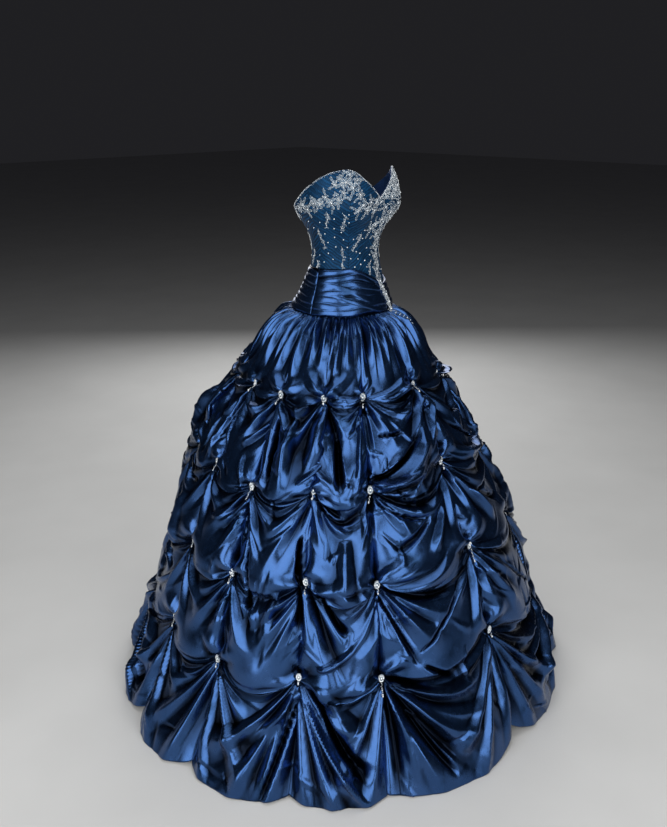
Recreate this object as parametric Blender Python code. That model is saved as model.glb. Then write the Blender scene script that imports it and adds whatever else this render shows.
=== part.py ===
"""Strapless ball gown, worn shape: princess-seamed bodice, ruched waistband and a picked-up, puffed skirt.

Run with: blender --background --python part.py
Metres, +Z up. The origin is the centre of the waist, the wearer faces -Y, and the hem is just on the floor.
A place round the gown is its turn in degrees: 0 at the centre front, positive towards the wearer's left (+X).
"""

import math

import bpy
import numpy as np
from mathutils import Matrix, Vector
from mathutils.bvhtree import BVHTree

# Heights above the waist.
FLOOR = -1.185
BAND_BOTTOM = -0.146
SKIRT_TOP = -0.137

# Cloth and clearances.
BODICE_WALL = 0.0020
BAND_WALL = 0.0020
SKIRT_WALL = 0.0024
SEAM_GAP = 0.0004
LAP_GAP = 0.0008
LAP = 0.012
CREASE_ANGLE = 50.0

# Rings of the fitted part: height, half width, depth to the front, depth to the back.
BODY_RINGS = (
    (-0.165, 0.134, 0.110, 0.160),
    (-0.120, 0.120, 0.100, 0.126),
    (-0.070, 0.104, 0.084, 0.094),
    (-0.030, 0.095, 0.074, 0.081),
    (0.000, 0.092, 0.070, 0.078),
    (0.030, 0.096, 0.074, 0.083),
    (0.060, 0.107, 0.084, 0.096),
    (0.090, 0.126, 0.098, 0.114),
    (0.120, 0.137, 0.108, 0.124),
    (0.160, 0.137, 0.107, 0.124),
    (0.210, 0.127, 0.094, 0.122),
)

# The cups that the princess seams shape: where their fullest points are, and how far they stand out.
CUP_TURN = 36.0
CUP_HEIGHT = 0.118
CUP_DEPTH = 0.015
CUP_SPREAD = 22.0
CUP_DROP_BELOW = 0.045
CUP_RISE_ABOVE = 0.060

# Sweetheart neckline, the same on both sides: turn, height.
NECKLINE = (
    (0, 0.136), (6, 0.147), (14, 0.162), (25, 0.180), (36, 0.197), (46, 0.203), (60, 0.200),
    (73, 0.189), (89, 0.165), (111, 0.128), (138, 0.098), (160, 0.088), (180, 0.085),
)

# Seams of the bodice panels, and how many strips of faces each panel has.
PRINCESS_TURN = 44.0
SIDE_TURN = 90.0
BACK_SEAM_TURN = 140.0
BODICE_PANELS = (
    ("bodice_front", -PRINCESS_TURN, PRINCESS_TURN, 12),
    ("bodice_side_front_left", PRINCESS_TURN, SIDE_TURN, 6),
    ("bodice_side_back_left", SIDE_TURN, BACK_SEAM_TURN, 5),
    ("bodice_back_left", BACK_SEAM_TURN, 180.0, 4),
    ("bodice_back_right", 180.0, 360.0 - BACK_SEAM_TURN, 4),
    ("bodice_side_back_right", 360.0 - BACK_SEAM_TURN, 360.0 - SIDE_TURN, 5),
    ("bodice_side_front_right", 360.0 - SIDE_TURN, 360.0 - PRINCESS_TURN, 6),
)
BODICE_ROWS = 10

# Beaded lace motifs raised on the bodice: turn, height, half width in degrees, half height.
LACE_RELIEF = 0.0012
LACE_RIM = 1.25
LACE_SLOPE = 2.0
LACE_CLEAR = 0.010
LACE_MOTIFS = (
    (-46, 0.176, 17, 0.024), (-78, 0.132, 22, 0.022), (-108, 0.104, 12, 0.018), (-34, 0.132, 10, 0.018),
    (-6, 0.112, 11, 0.026), (20, 0.140, 18, 0.036), (44, 0.150, 20, 0.044), (30, 0.090, 14, 0.034),
    (20, 0.040, 9, 0.030), (10, -0.010, 7, 0.030), (-92, 0.060, 5, 0.040), (-64, 0.070, 4, 0.022),
    (-20, 0.060, 5, 0.026), (78, 0.135, 18, 0.026), (108, 0.104, 12, 0.018), (140, 0.076, 14, 0.016),
    (-140, 0.076, 14, 0.016),
)

# Top edge of the ruched band, which dips towards its join on the wearer's left front: turn, height.
BAND_TOP = (
    (-180, -0.040), (-120, -0.036), (-90, -0.034), (-46, -0.033), (-20, -0.041), (0, -0.057),
    (12, -0.069), (22, -0.080), (50, -0.078), (90, -0.060), (130, -0.046), (180, -0.040),
)
BAND_JOIN_TURN = 22.0
BAND_FOLDS = 7
FOLD_HEIGHT = 0.0050
FOLD_BASE = 0.25
FOLD_SWEEP = 0.34
FOLD_SWEEP_REACH = 60.0
# How the folds wander up and down on their way round: share of a fold, waves round the gown, start.
FOLD_WANDER = ((0.18, 2, 40.0), (0.10, 5, 0.0))
BAND_PIECES = (
    ("band_front", -SIDE_TURN, BAND_JOIN_TURN, 13),
    ("band_side_left", BAND_JOIN_TURN, SIDE_TURN, 8),
    ("band_back", SIDE_TURN, 360.0 - SIDE_TURN, 20),
)

# Rings of the skirt at its fullest: height, half width, depth to the front, depth to the back.
SKIRT_RINGS = (
    (-0.137, 0.1253, 0.1039, 0.1383),
    (-0.147, 0.1283, 0.1061, 0.1457),
    (-0.162, 0.1450, 0.1230, 0.1660),
    (-0.200, 0.1820, 0.1580, 0.2100),
    (-0.260, 0.2280, 0.2020, 0.2620),
    (-0.330, 0.2780, 0.2480, 0.3250),
    (-0.420, 0.3380, 0.3080, 0.3900),
    (-0.520, 0.3950, 0.3580, 0.4550),
    (-0.620, 0.4380, 0.4080, 0.4780),
    (-0.720, 0.4780, 0.4600, 0.4920),
    (-0.820, 0.5080, 0.4980, 0.5200),
    (-0.930, 0.5420, 0.5300, 0.5550),
    (-1.040, 0.5820, 0.5650, 0.5880),
    (-1.110, 0.6120, 0.5900, 0.6000),
    (-1.185, 0.6580, 0.6150, 0.6220),
)

# Columns of pick-ups, from the centre front round to the centre back and the same on both sides:
# turn, gathers to the next column, how much higher its pick-ups sit than their row, lift of the hem.
PICKUP_COLUMNS = (
    (0, 5, 0.024, 0.040), (38, 3, 0.000, 0.006), (60, 3, 0.004, 0.010), (85, 3, -0.010, 0.014),
    (108, 3, 0.006, 0.024), (132, 3, -0.006, 0.020), (156, 3, 0.004, 0.022), (180, 3, 0.000, 0.024),
)

# Rows of pick-ups: height, how far the cloth sags between two of them, how deep they are pulled in.
PICKUP_ROWS = (
    (-0.315, 0.022, 0.030),
    (-0.510, 0.036, 0.044),
    (-0.710, 0.040, 0.050),
    (-0.922, 0.044, 0.052),
)
# Only the pick-ups below the first row follow their column's own height in full.
FIRST_ROW_LIFT = 0.2

# Where the rows of points lie in each tier, as shares from its top to its bottom.
TIER_STEPS = (
    (0.0, 0.055, 0.14, 0.34, 0.66),
    (0.0, 0.24, 0.54, 0.82),
    (0.0, 0.24, 0.54, 0.82),
    (0.0, 0.24, 0.54, 0.82),
    (0.0, 0.28, 0.64, 1.0),
)
# How full a puff is midway between two columns: share of the tier, fullness.
PUFF_SHAPE = ((0.0, 0.50), (0.25, 0.68), (0.50, 0.88), (0.72, 1.00), (0.86, 0.94), (1.0, 0.50))
GATHERED_SHAPE = ((0.0, 1.00), (0.25, 1.00), (0.60, 1.00), (0.84, 0.96), (1.0, 0.50))
HEM_SHAPE = ((0.0, 0.50), (0.25, 0.68), (0.55, 0.90), (0.80, 1.00), (1.0, 0.86))
PUFF_WIDTH = 0.60
VALLEY_SHARE = 0.50
PUFF_DROOP = 0.016
# Depth of the gathers at the band and what it grows by, and how steeply they fade towards the pick-ups.
GATHER_HEIGHT = 0.0040
GATHER_GROWTH = 0.0060
GATHER_FADE = 0.5
# How late in the gathered tier the valleys of the columns begin.
VALLEY_START = 3

# Folds that fan out from the pick-ups: height, distance of their highest point, folds in a half turn.
FAN_HEIGHT = 0.0100
FAN_REACH = 0.075
FAN_FOLDS = 5.0
# The slow, uneven swell of each puff.
SWELL = 0.0050

# Gores of the skirt, each from seam to seam over two columns of puffs.
SKIRT_GORES = (
    ("skirt_front", -38, 38), ("skirt_side_front_left", 38, 85), ("skirt_side_back_left", 85, 132),
    ("skirt_back_left", 132, 180), ("skirt_back_right", 180, 228), ("skirt_side_back_right", 228, 275),
    ("skirt_side_front_right", 275, 322),
)

# Bead clusters on the pick-ups that the front and the sides show: half width, half length, half thickness.
CLUSTER_SIZE = (0.0085, 0.0160, 0.0045)
CLUSTER_TURN_LIMIT = 110.0
CLUSTER_SIDES = 5
CLUSTER_RINGS = 3
CLUSTER_START = 0.12
CLUSTER_TILT = 0.35

# Beaded strip over the join of the band: turn, height, half width.
STRIP_PATH = (
    (15.0, -0.0700, 0.008), (18.0, -0.0850, 0.012), (21.5, -0.1050, 0.014),
    (24.5, -0.1250, 0.014), (27.5, -0.1440, 0.010),
)
STRIP_ROWS = 8
STRIP_STRIPS = 3
STRIP_WALL = 0.0016

# Pull of the concealed zip at the centre back: half width, half length, half thickness, drop from the edge.
PULL_SIZE = (0.0022, 0.0080, 0.0007)
PULL_DROP = 0.012

# Colour, roughness and metallic value of each cloth and trim.
FINISHES = {
    "taffeta": ((0.030, 0.075, 0.230, 1.0), 0.35, 0.30),
    "lace_over_satin": ((0.020, 0.070, 0.190, 1.0), 0.55, 0.10),
    "beads": ((0.620, 0.640, 0.600, 1.0), 0.20, 0.80),
}


def clear_scene():
    for old in list(bpy.data.objects):
        bpy.data.objects.remove(old)


def finish(name):
    """The material of that name, made at its first use."""
    material = bpy.data.materials.get(name)
    if material:
        return material
    colour, roughness, metallic = FINISHES[name]
    material = bpy.data.materials.new(name)
    material.use_nodes = True
    shader = material.node_tree.nodes["Principled BSDF"]
    shader.inputs["Base Color"].default_value = colour
    shader.inputs["Roughness"].default_value = roughness
    shader.inputs["Metallic"].default_value = metallic
    return material


def smooth(x, table, column=1):
    """A smooth curve through a table's first column and another one, with no overshoot at its steps."""
    xs = np.array([row[0] for row in table], float)
    ys = np.array([row[column] for row in table], float)
    if xs[0] > xs[-1]:
        xs, ys = xs[::-1], ys[::-1]
    steps = np.diff(ys) / np.diff(xs)
    before, after = steps[:-1], steps[1:]
    same_way = before * after > 0
    middle = np.where(same_way, 2 * before * after / np.where(same_way, before + after, 1.0), 0.0)
    slopes = np.concatenate([steps[:1], middle, steps[-1:]])
    x = np.clip(x, xs[0], xs[-1])
    i = np.clip(np.searchsorted(xs, x, side="right") - 1, 0, len(xs) - 2)
    width = xs[i + 1] - xs[i]
    t = (x - xs[i]) / width
    start = ys[i] * (1 + 2 * t) * (1 - t) ** 2 + slopes[i] * width * t * (1 - t) ** 2
    end = ys[i + 1] * t * t * (3 - 2 * t) + slopes[i + 1] * width * t * t * (t - 1)
    return start + end


def around(turn):
    """The same turn between -180 and 180 degrees."""
    return (np.asarray(turn, float) + 180.0) % 360.0 - 180.0


def ring_radius(turn, height, rings):
    """Distance from the axis to a ring that is half an ellipse in front and half another behind."""
    angle = np.radians(around(turn))
    half_width = smooth(height, rings, 1)
    depth = np.where(np.cos(angle) > 0, smooth(height, rings, 2), smooth(height, rings, 3))
    return 1.0 / np.sqrt((np.cos(angle) / depth) ** 2 + (np.sin(angle) / half_width) ** 2)


def place(turn, radius, height):
    """Points from their turn, distance from the axis and height."""
    angle = np.radians(turn)
    return np.stack([radius * np.sin(angle), -radius * np.cos(angle), height + 0.0 * radius], axis=-1)


def bell(distance):
    return np.exp(-distance * distance)


def normals_of(points, closed):
    """Outward normals of a grid whose rows go up and whose columns go round by growing turn."""
    if closed:
        across = np.roll(points, -1, axis=1) - np.roll(points, 1, axis=1)
    else:
        across = np.gradient(points, axis=1)
    out = np.cross(across, np.gradient(points, axis=0))
    return out / np.linalg.norm(out, axis=-1, keepdims=True)


def pulled_apart(grid):
    """The grid with its first and last columns drawn in, round the gown, by half a seam's gap."""
    grid = grid.copy()
    for edge, side in ((0, 1), (-1, -1)):
        way = np.stack([-grid[:, edge, 1], grid[:, edge, 0]], axis=-1)
        way = way / np.linalg.norm(way, axis=-1, keepdims=True)
        grid[:, edge, :2] += side * way * SEAM_GAP / 2
    return grid


def wall(name, outer, inner, collection, finish_name):
    """A closed wall between an outer and an inner grid of points, rows going up and columns going round."""
    rows, columns = outer.shape[:2]
    outside = np.arange(rows * columns).reshape(rows, columns)
    inside = outside + rows * columns
    faces = []
    for i in range(rows - 1):
        for j in range(columns - 1):
            faces.append((outside[i, j], outside[i, j + 1], outside[i + 1, j + 1], outside[i + 1, j]))
            faces.append((inside[i, j], inside[i + 1, j], inside[i + 1, j + 1], inside[i, j + 1]))
    for i in range(rows - 1):
        faces.append((outside[i, 0], outside[i + 1, 0], inside[i + 1, 0], inside[i, 0]))
        faces.append((outside[i, -1], inside[i, -1], inside[i + 1, -1], outside[i + 1, -1]))
    for j in range(columns - 1):
        faces.append((outside[0, j + 1], outside[0, j], inside[0, j], inside[0, j + 1]))
        faces.append((outside[-1, j], outside[-1, j + 1], inside[-1, j + 1], inside[-1, j]))
    triangles = [face[:3] for face in faces] + [(face[0], face[2], face[3]) for face in faces]
    points = np.concatenate([outer.reshape(-1, 3), inner.reshape(-1, 3)])
    mesh = bpy.data.meshes.new(name)
    mesh.from_pydata(points.tolist(), [], [tuple(int(v) for v in face) for face in triangles])
    mesh.shade_smooth()
    mesh.set_sharp_from_angle(angle=math.radians(CREASE_ANGLE))
    return add(name, mesh, collection, finish_name)


def add(name, mesh, collection, finish_name):
    mesh.materials.append(finish(finish_name))
    obj = bpy.data.objects.new(name, mesh)
    collection.objects.link(obj)
    return obj


def panels(outer, inner, starts, names, collection, finish_name):
    """One wall for each stretch of columns of a closed ring of points, parted by a seam's gap."""
    made = []
    for name, (first, last) in zip(names, starts):
        columns = np.arange(first, last + 1) % outer.shape[1]
        shell = [pulled_apart(grid[:, columns]) for grid in (outer, inner)]
        made.append(wall(name, *shell, collection, finish_name))
    return made


def stretches(counts):
    """(first, last) column of each panel, from its number of strips."""
    ends = np.cumsum([0, *counts])
    return list(zip(ends[:-1], ends[1:]))


def panel_turns(pieces):
    """The turn of each column round the whole gown, from pieces of (name, from, to, strips)."""
    return np.concatenate([np.linspace(a, b, n, endpoint=False) for _, a, b, n in pieces])


def neckline(turn):
    return smooth(np.abs(around(turn)), NECKLINE)


def band_top(turn):
    return smooth(around(turn), BAND_TOP)


def cups(turn, height):
    """How far the cups stand out. They fall away faster under the bust than above it."""
    spread = np.where(height < CUP_HEIGHT, CUP_DROP_BELOW, CUP_RISE_ABOVE)
    rise = bell((height - CUP_HEIGHT) / spread)
    across = bell((np.abs(around(turn)) - CUP_TURN) / CUP_SPREAD)
    return CUP_DEPTH * rise * across


def lace_relief(turn, height):
    """Raised lace: full height inside a motif, nothing outside it."""
    relief = np.zeros(np.broadcast(turn, height).shape)
    for at_turn, at_height, half_turn, half_height in LACE_MOTIFS:
        reach = np.hypot(around(turn - at_turn) / half_turn, (height - at_height) / half_height)
        relief = np.maximum(relief, LACE_RELIEF * np.clip(LACE_SLOPE * (LACE_RIM - reach), 0, 1))
    return relief * (height > band_top(turn) + LACE_CLEAR)


def body_points(turn, height, out=0.0):
    """Points of the fitted body's surface, moved out by a distance."""
    radius = ring_radius(turn, height, BODY_RINGS) + cups(turn, height) + out
    return place(turn, radius, height)


def build_bodice(collection):
    turn = panel_turns(BODICE_PANELS)
    share = np.linspace(0, 1, BODICE_ROWS + 1)[:, None]
    low = band_top(turn) - LAP
    height = low + (neckline(turn) - low) * share
    turn = np.broadcast_to(turn, height.shape)
    plain = body_points(turn, height)
    normal = normals_of(plain, closed=True)
    outer = plain + normal * lace_relief(turn, height)[..., None]
    inner = plain - normal * BODICE_WALL
    counts = [n for *_, n in BODICE_PANELS]
    names = [name for name, *_ in BODICE_PANELS]
    return panels(outer, inner, stretches(counts), names, collection, "lace_over_satin")


def band_folds(turn, share):
    """Height of the ruched folds, which bunch up towards the band's join."""
    share = np.clip(share, 0, 1)
    bunched = share ** (1 + FOLD_SWEEP * bell((around(turn) - BAND_JOIN_TURN) / FOLD_SWEEP_REACH))
    middle = np.sin(np.pi * share)
    wander_off = sum(size * np.sin(np.radians(waves * turn + start)) for size, waves, start in FOLD_WANDER)
    wave = 0.5 - 0.5 * np.cos(2 * np.pi * (BAND_FOLDS * bunched + wander_off * middle))
    return FOLD_HEIGHT * (FOLD_BASE + (1 - FOLD_BASE) * wave) * middle ** 0.35


def band_base(turn, height):
    """Points of the band's surface before its folds."""
    return body_points(turn, height, LAP_GAP + BAND_WALL)


def build_band(collection):
    turn = panel_turns(BAND_PIECES)
    share = np.linspace(0, 1, 2 * BAND_FOLDS + 1)[:, None]
    height = BAND_BOTTOM + (band_top(turn) - BAND_BOTTOM) * share
    turn = np.broadcast_to(turn, height.shape)
    plain = band_base(turn, height)
    normal = normals_of(plain, closed=True)
    outer = plain + normal * band_folds(turn, share)[..., None]
    inner = outer - normal * BAND_WALL
    counts = [n for *_, n in BAND_PIECES]
    names = [name for name, *_ in BAND_PIECES]
    return panels(outer, inner, stretches(counts), names, collection, "taffeta")


def build_strip(collection):
    """The beaded strip, laid over the crests of the band's folds."""
    height = np.linspace(STRIP_PATH[-1][1], STRIP_PATH[0][1], STRIP_ROWS + 1)
    by_height = [(row[1], row[0], row[2]) for row in STRIP_PATH]
    turn, half = smooth(height, by_height, 1), smooth(height, by_height, 2)
    across = np.linspace(-1, 1, STRIP_STRIPS + 1)
    turns = turn[:, None] + np.degrees(half / ring_radius(turn, height, BODY_RINGS))[:, None] * across
    base = band_base(turns, np.broadcast_to(height[:, None], turns.shape))
    normal = normals_of(base, closed=False)
    inner = base + normal * (FOLD_HEIGHT + SEAM_GAP)
    return wall("bead_strip", inner + normal * STRIP_WALL, inner, collection, "beads")


def build_zip_pull(collection):
    """The pull of the concealed zip, hanging flat on the centre back seam."""
    half_width, half_length, half_thickness = PULL_SIZE
    height = neckline(180.0) - PULL_DROP
    low, high = (body_points(180.0, height + step) for step in (-half_length, half_length))
    along = Vector(high - low).normalized()
    across = Vector((1, 0, 0))
    out = along.cross(across)
    out = out if out.y > 0 else -out
    middle = Vector((low + high) / 2) + out * (SEAM_GAP + half_thickness)
    bpy.ops.mesh.primitive_cube_add(size=2)
    cube = bpy.context.object
    turned = Matrix((across * half_width, out * half_thickness, along * half_length)).transposed().to_4x4()
    cube.data.transform(Matrix.Translation(middle) @ turned)
    if turned.determinant() < 0:
        cube.data.flip_normals()
    add("zip_pull", cube.data, collection, "beads")
    bpy.data.objects.remove(cube)


def all_columns():
    """The columns of pick-ups right round the gown: turn, gathers to the next one, lift, hem lift."""
    turns = [row[0] for row in PICKUP_COLUMNS]
    turns += [360.0 - turn for turn in turns[-2:0:-1]]
    gathers = [row[1] for row in PICKUP_COLUMNS[:-1]]
    gathers += gathers[::-1]
    lifts = [row[2:] for row in PICKUP_COLUMNS]
    lifts += lifts[-2:0:-1]
    return [(turn, number, *lift) for turn, number, lift in zip(turns, gathers, lifts)]


COLUMNS = all_columns()


def sector(turn):
    """Which two columns a turn lies between, and how far from the first to the second."""
    starts = np.array([row[0] for row in COLUMNS] + [360.0])
    turn = np.asarray(turn, float) % 360.0
    i = np.clip(np.searchsorted(starts, turn, side="right") - 1, 0, len(COLUMNS) - 1)
    return i, (turn - starts[i]) / (starts[i + 1] - starts[i])


def between_columns(turn, field):
    """A value of the columns' table, carried over from each column to the next."""
    i, share = sector(turn)
    values = np.array([row[field] for row in COLUMNS] + [COLUMNS[0][field]])
    return values[i] * (1 - share) + values[i + 1] * share


def line_height(line, turn):
    """Height of a line across the skirt: 0 is its top, 1 to 4 the rows of pick-ups and 5 the hem."""
    _, share = sector(turn)
    if line == 0:
        return np.full(np.shape(share), SKIRT_TOP)
    if line > len(PICKUP_ROWS):
        return FLOOR + between_columns(turn, 3) * (1 - np.sin(np.pi * share)) ** 2
    height, sag, _ = PICKUP_ROWS[line - 1]
    lift = between_columns(turn, 2) * (FIRST_ROW_LIFT if line == 1 else 1.0)
    return height + lift - sag * 4 * share * (1 - share)


def wander(tier, i):
    """A steady, uneven number from -1 to 1 for each puff."""
    return np.sin(12.9 * (tier + 1) + 7.7 * i + 4.1 * np.sin(3.3 * i + tier))


def fans(across, share, width, length, above, below):
    """Folds fanning out from the four pick-ups at the corners of a puff."""
    height = 0.0
    for side in (across, 1 - across):
        for way, shown in ((share, above), (1 - share, below)):
            away, down = side * width, way * length
            reach = np.hypot(away, down) / FAN_REACH
            wave = np.cos(2 * FAN_FOLDS * np.arctan2(down, away + 1e-9))
            height = height + shown * wave * reach * np.exp(1 - reach) * np.clip(2 * side, 0, 1)
    return FAN_HEIGHT * height


def skirt_points(turn, tier, share):
    """Points of the skirt in one tier, at a share of the way from its upper line to its lower one."""
    i, across = sector(turn)
    upper, lower = line_height(tier, turn), line_height(tier + 1, turn)
    last = len(PICKUP_ROWS)
    gathered, hem = tier == 0, tier == last
    fullness = smooth(share, GATHERED_SHAPE if gathered else HEM_SHAPE if hem else PUFF_SHAPE)
    lobe = np.sin(np.pi * across) ** PUFF_WIDTH
    middle = np.sin(0.5 * np.pi * share) if hem else np.sin(np.pi * share)
    if gathered:
        valley = 1 - (1 - lobe) * share ** VALLEY_START
    else:
        near_pickup = np.cos(0.5 * np.pi * share) if hem else np.abs(np.cos(np.pi * share))
        valley = 1 - (1 - lobe) * (VALLEY_SHARE + (1 - VALLEY_SHARE) * near_pickup)
    depths = [0.0, *[row[2] for row in PICKUP_ROWS], PICKUP_ROWS[-1][2]]
    depth = depths[tier] * (1 - share) + depths[tier + 1] * share
    height = upper + (lower - upper) * share
    if not gathered and not hem:
        height = height - PUFF_DROOP * lobe * fullness * middle
    full_radius = ring_radius(turn, height, SKIRT_RINGS)
    radius = full_radius - depth * (1 - fullness * valley)
    if gathered:
        number = np.array([row[1] for row in COLUMNS])[i]
        grown = GATHER_HEIGHT + GATHER_GROWTH * np.sin(np.pi * min(1.0, 2 * share))
        radius = radius + grown * (np.cos(2 * np.pi * number * across) - 1) * (1 - share) ** GATHER_FADE
    else:
        starts = np.array([row[0] for row in COLUMNS] + [360.0])
        width = np.radians(starts[i + 1] - starts[i]) * full_radius
        radius = radius + fans(across, share, width, upper - lower, 1.0, 0.0 if hem else 1.0)
        radius = radius + SWELL * wander(tier, i) * lobe * middle
    return place(turn, radius, height)


def skirt_grid():
    """All points of the skirt, rows going up from the hem, and the turn of each column."""
    turn = np.concatenate([
        np.linspace(a[0], b, 2 * a[1], endpoint=False)
        for a, b in zip(COLUMNS, [row[0] for row in COLUMNS[1:]] + [360.0])
    ])
    rows = [skirt_points(turn, tier, share) for tier, steps in enumerate(TIER_STEPS) for share in steps]
    return np.array(rows[::-1]), turn


def build_skirt(collection):
    outer, turn = skirt_grid()
    outer[0, :, 2] = np.maximum(outer[0, :, 2], FLOOR)
    inner = outer - normals_of(outer, closed=True) * SKIRT_WALL
    inner[0, :, 2] = outer[0, :, 2]
    at = {int(round(t)): j for j, t in enumerate(turn)}
    starts = []
    for _, first, last in SKIRT_GORES:
        a, b = at[first % 360], at[last % 360]
        starts.append((a, b if b > a else b + len(turn)))
    names = [name for name, *_ in SKIRT_GORES]
    return panels(outer, inner, starts, names, collection, "taffeta")


def surface_of(objects):
    """One search tree of the outer and inner faces of several walls."""
    points, faces = [], []
    for obj in objects:
        start = len(points)
        points.extend(obj.data.vertices[i].co.copy() for i in range(len(obj.data.vertices)))
        faces.extend(tuple(start + v for v in face.vertices) for face in obj.data.polygons)
    return BVHTree.FromPolygons(points, faces)


def seat(mesh, towards, tree):
    """Move a mesh that way until its points touch the surface, then back until the two are a gap apart."""
    hits = [tree.ray_cast(v.co, towards) for v in mesh.vertices]
    mesh.transform(Matrix.Translation(towards * min(hit[3] for hit in hits if hit[0] is not None)))
    faces = [face.vertices[:] for face in mesh.polygons]
    touching = True
    while touching:
        mesh.transform(Matrix.Translation(-towards * SEAM_GAP))
        touching = tree.overlap(BVHTree.FromPolygons([v.co for v in mesh.vertices], faces))
    mesh.transform(Matrix.Translation(-towards * SEAM_GAP))


def build_clusters(collection, skirt):
    """An oval cluster of beads on each pick-up from the centre front to just past the sides."""
    tree = surface_of(skirt)
    half_width, half_length, half_thickness = CLUSTER_SIZE
    for turn in [row[0] for row in COLUMNS]:
        if abs(around(turn)) > CLUSTER_TURN_LIMIT:
            continue
        for row in range(1, len(PICKUP_ROWS) + 1):
            spot = Vector(skirt_points(np.array([turn]), row, 0.0)[0])
            angle = math.radians(turn)
            out = Vector((math.sin(angle), -math.cos(angle), CLUSTER_TILT)).normalized()
            across = Vector((0, 0, 1)).cross(out).normalized()
            up = out.cross(across)
            bpy.ops.mesh.primitive_uv_sphere_add(segments=CLUSTER_SIDES, ring_count=CLUSTER_RINGS, radius=1)
            cluster = bpy.context.object
            shape = Matrix((across * half_width, up * half_length, out * half_thickness)).transposed().to_4x4()
            cluster.data.transform(Matrix.Translation(spot + out * CLUSTER_START) @ shape)
            seat(cluster.data, -out, tree)
            cluster.data.shade_smooth()
            add(f"cluster_{row}_{int(turn):03d}", cluster.data, collection, "beads")
            bpy.data.objects.remove(cluster)


def main():
    clear_scene()
    collection = bpy.data.collections.new("ball_gown")
    bpy.context.scene.collection.children.link(collection)
    build_bodice(collection)
    build_zip_pull(collection)
    build_band(collection)
    build_strip(collection)
    build_clusters(collection, build_skirt(collection))


main()
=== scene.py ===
"""Looks of the strapless ball gown: creased taffeta, ruched band, gathered net, beaded lace and brooches.

Metres, +Z up. The origin is the centre of the waist, the wearer faces -Y, and the hem is just on the floor.
A place round the gown is its turn in degrees: 0 at the centre front, positive towards the wearer's left (+X).
Some long tables are in millimetres or hundredths, and their comments say so.
"""

import math

import bpy
import numpy as np
from mathutils import Matrix, Vector


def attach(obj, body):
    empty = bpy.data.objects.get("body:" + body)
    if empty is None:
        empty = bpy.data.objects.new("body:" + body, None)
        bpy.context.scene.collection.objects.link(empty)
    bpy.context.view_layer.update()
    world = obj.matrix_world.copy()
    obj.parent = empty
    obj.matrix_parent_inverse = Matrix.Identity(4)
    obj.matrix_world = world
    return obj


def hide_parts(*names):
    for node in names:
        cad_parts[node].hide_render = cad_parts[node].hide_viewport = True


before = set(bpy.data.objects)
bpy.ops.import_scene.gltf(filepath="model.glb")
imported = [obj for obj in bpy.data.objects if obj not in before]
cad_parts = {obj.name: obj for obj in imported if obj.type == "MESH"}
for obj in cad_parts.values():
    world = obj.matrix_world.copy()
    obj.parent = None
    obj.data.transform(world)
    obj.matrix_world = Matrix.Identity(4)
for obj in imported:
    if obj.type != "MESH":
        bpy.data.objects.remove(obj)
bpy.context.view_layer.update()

# Heights above the waist, and cloth sizes, as in the solids.
FLOOR = -1.185
BAND_BOTTOM = -0.146
SKIRT_TOP = -0.137
BODICE_WALL = 0.0020
BAND_WALL = 0.0020
LAP_GAP = 0.0008
LAP = 0.012

# Rings of the fitted part: height, half width, depth to the front, depth to the back.
BODY_RINGS = (
    (-0.165, 0.134, 0.110, 0.160),
    (-0.120, 0.120, 0.100, 0.126),
    (-0.070, 0.104, 0.084, 0.094),
    (-0.030, 0.095, 0.074, 0.081),
    (0.000, 0.092, 0.070, 0.078),
    (0.030, 0.096, 0.074, 0.083),
    (0.060, 0.107, 0.084, 0.096),
    (0.090, 0.126, 0.098, 0.114),
    (0.120, 0.137, 0.108, 0.124),
    (0.160, 0.137, 0.107, 0.124),
    (0.210, 0.127, 0.094, 0.122),
)
CUP_TURN = 36.0
CUP_HEIGHT = 0.118
CUP_DEPTH = 0.015
CUP_SPREAD = 22.0
CUP_DROP_BELOW = 0.045
CUP_RISE_ABOVE = 0.060

NECKLINE = (
    (0, 0.136), (6, 0.147), (14, 0.162), (25, 0.180), (36, 0.197), (46, 0.203), (60, 0.200),
    (73, 0.189), (89, 0.165), (111, 0.128), (138, 0.098), (160, 0.088), (180, 0.085),
)
PRINCESS_TURN = 44.0
SIDE_TURN = 90.0
BACK_SEAM_TURN = 140.0
BODICE_PANELS = (
    ("bodice_front", -PRINCESS_TURN, PRINCESS_TURN, 60),
    ("bodice_side_front_left", PRINCESS_TURN, SIDE_TURN, 34),
    ("bodice_side_back_left", SIDE_TURN, BACK_SEAM_TURN, 34),
    ("bodice_back_left", BACK_SEAM_TURN, 180.0, 26),
    ("bodice_back_right", 180.0, 360.0 - BACK_SEAM_TURN, 26),
    ("bodice_side_back_right", 360.0 - BACK_SEAM_TURN, 360.0 - SIDE_TURN, 34),
    ("bodice_side_front_right", 360.0 - SIDE_TURN, 360.0 - PRINCESS_TURN, 34),
)

BAND_TOP = (
    (-180, -0.040), (-120, -0.036), (-90, -0.034), (-46, -0.033), (-20, -0.041), (0, -0.057),
    (12, -0.069), (22, -0.080), (50, -0.078), (90, -0.060), (130, -0.046), (180, -0.040),
)
BAND_JOIN_TURN = 22.0
FOLD_HEIGHT = 0.0050
BAND_PIECES = (
    ("band_front", -SIDE_TURN, BAND_JOIN_TURN, 120),
    ("band_side_left", BAND_JOIN_TURN, SIDE_TURN, 76),
    ("band_back", SIDE_TURN, 360.0 - SIDE_TURN, 180),
)

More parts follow.
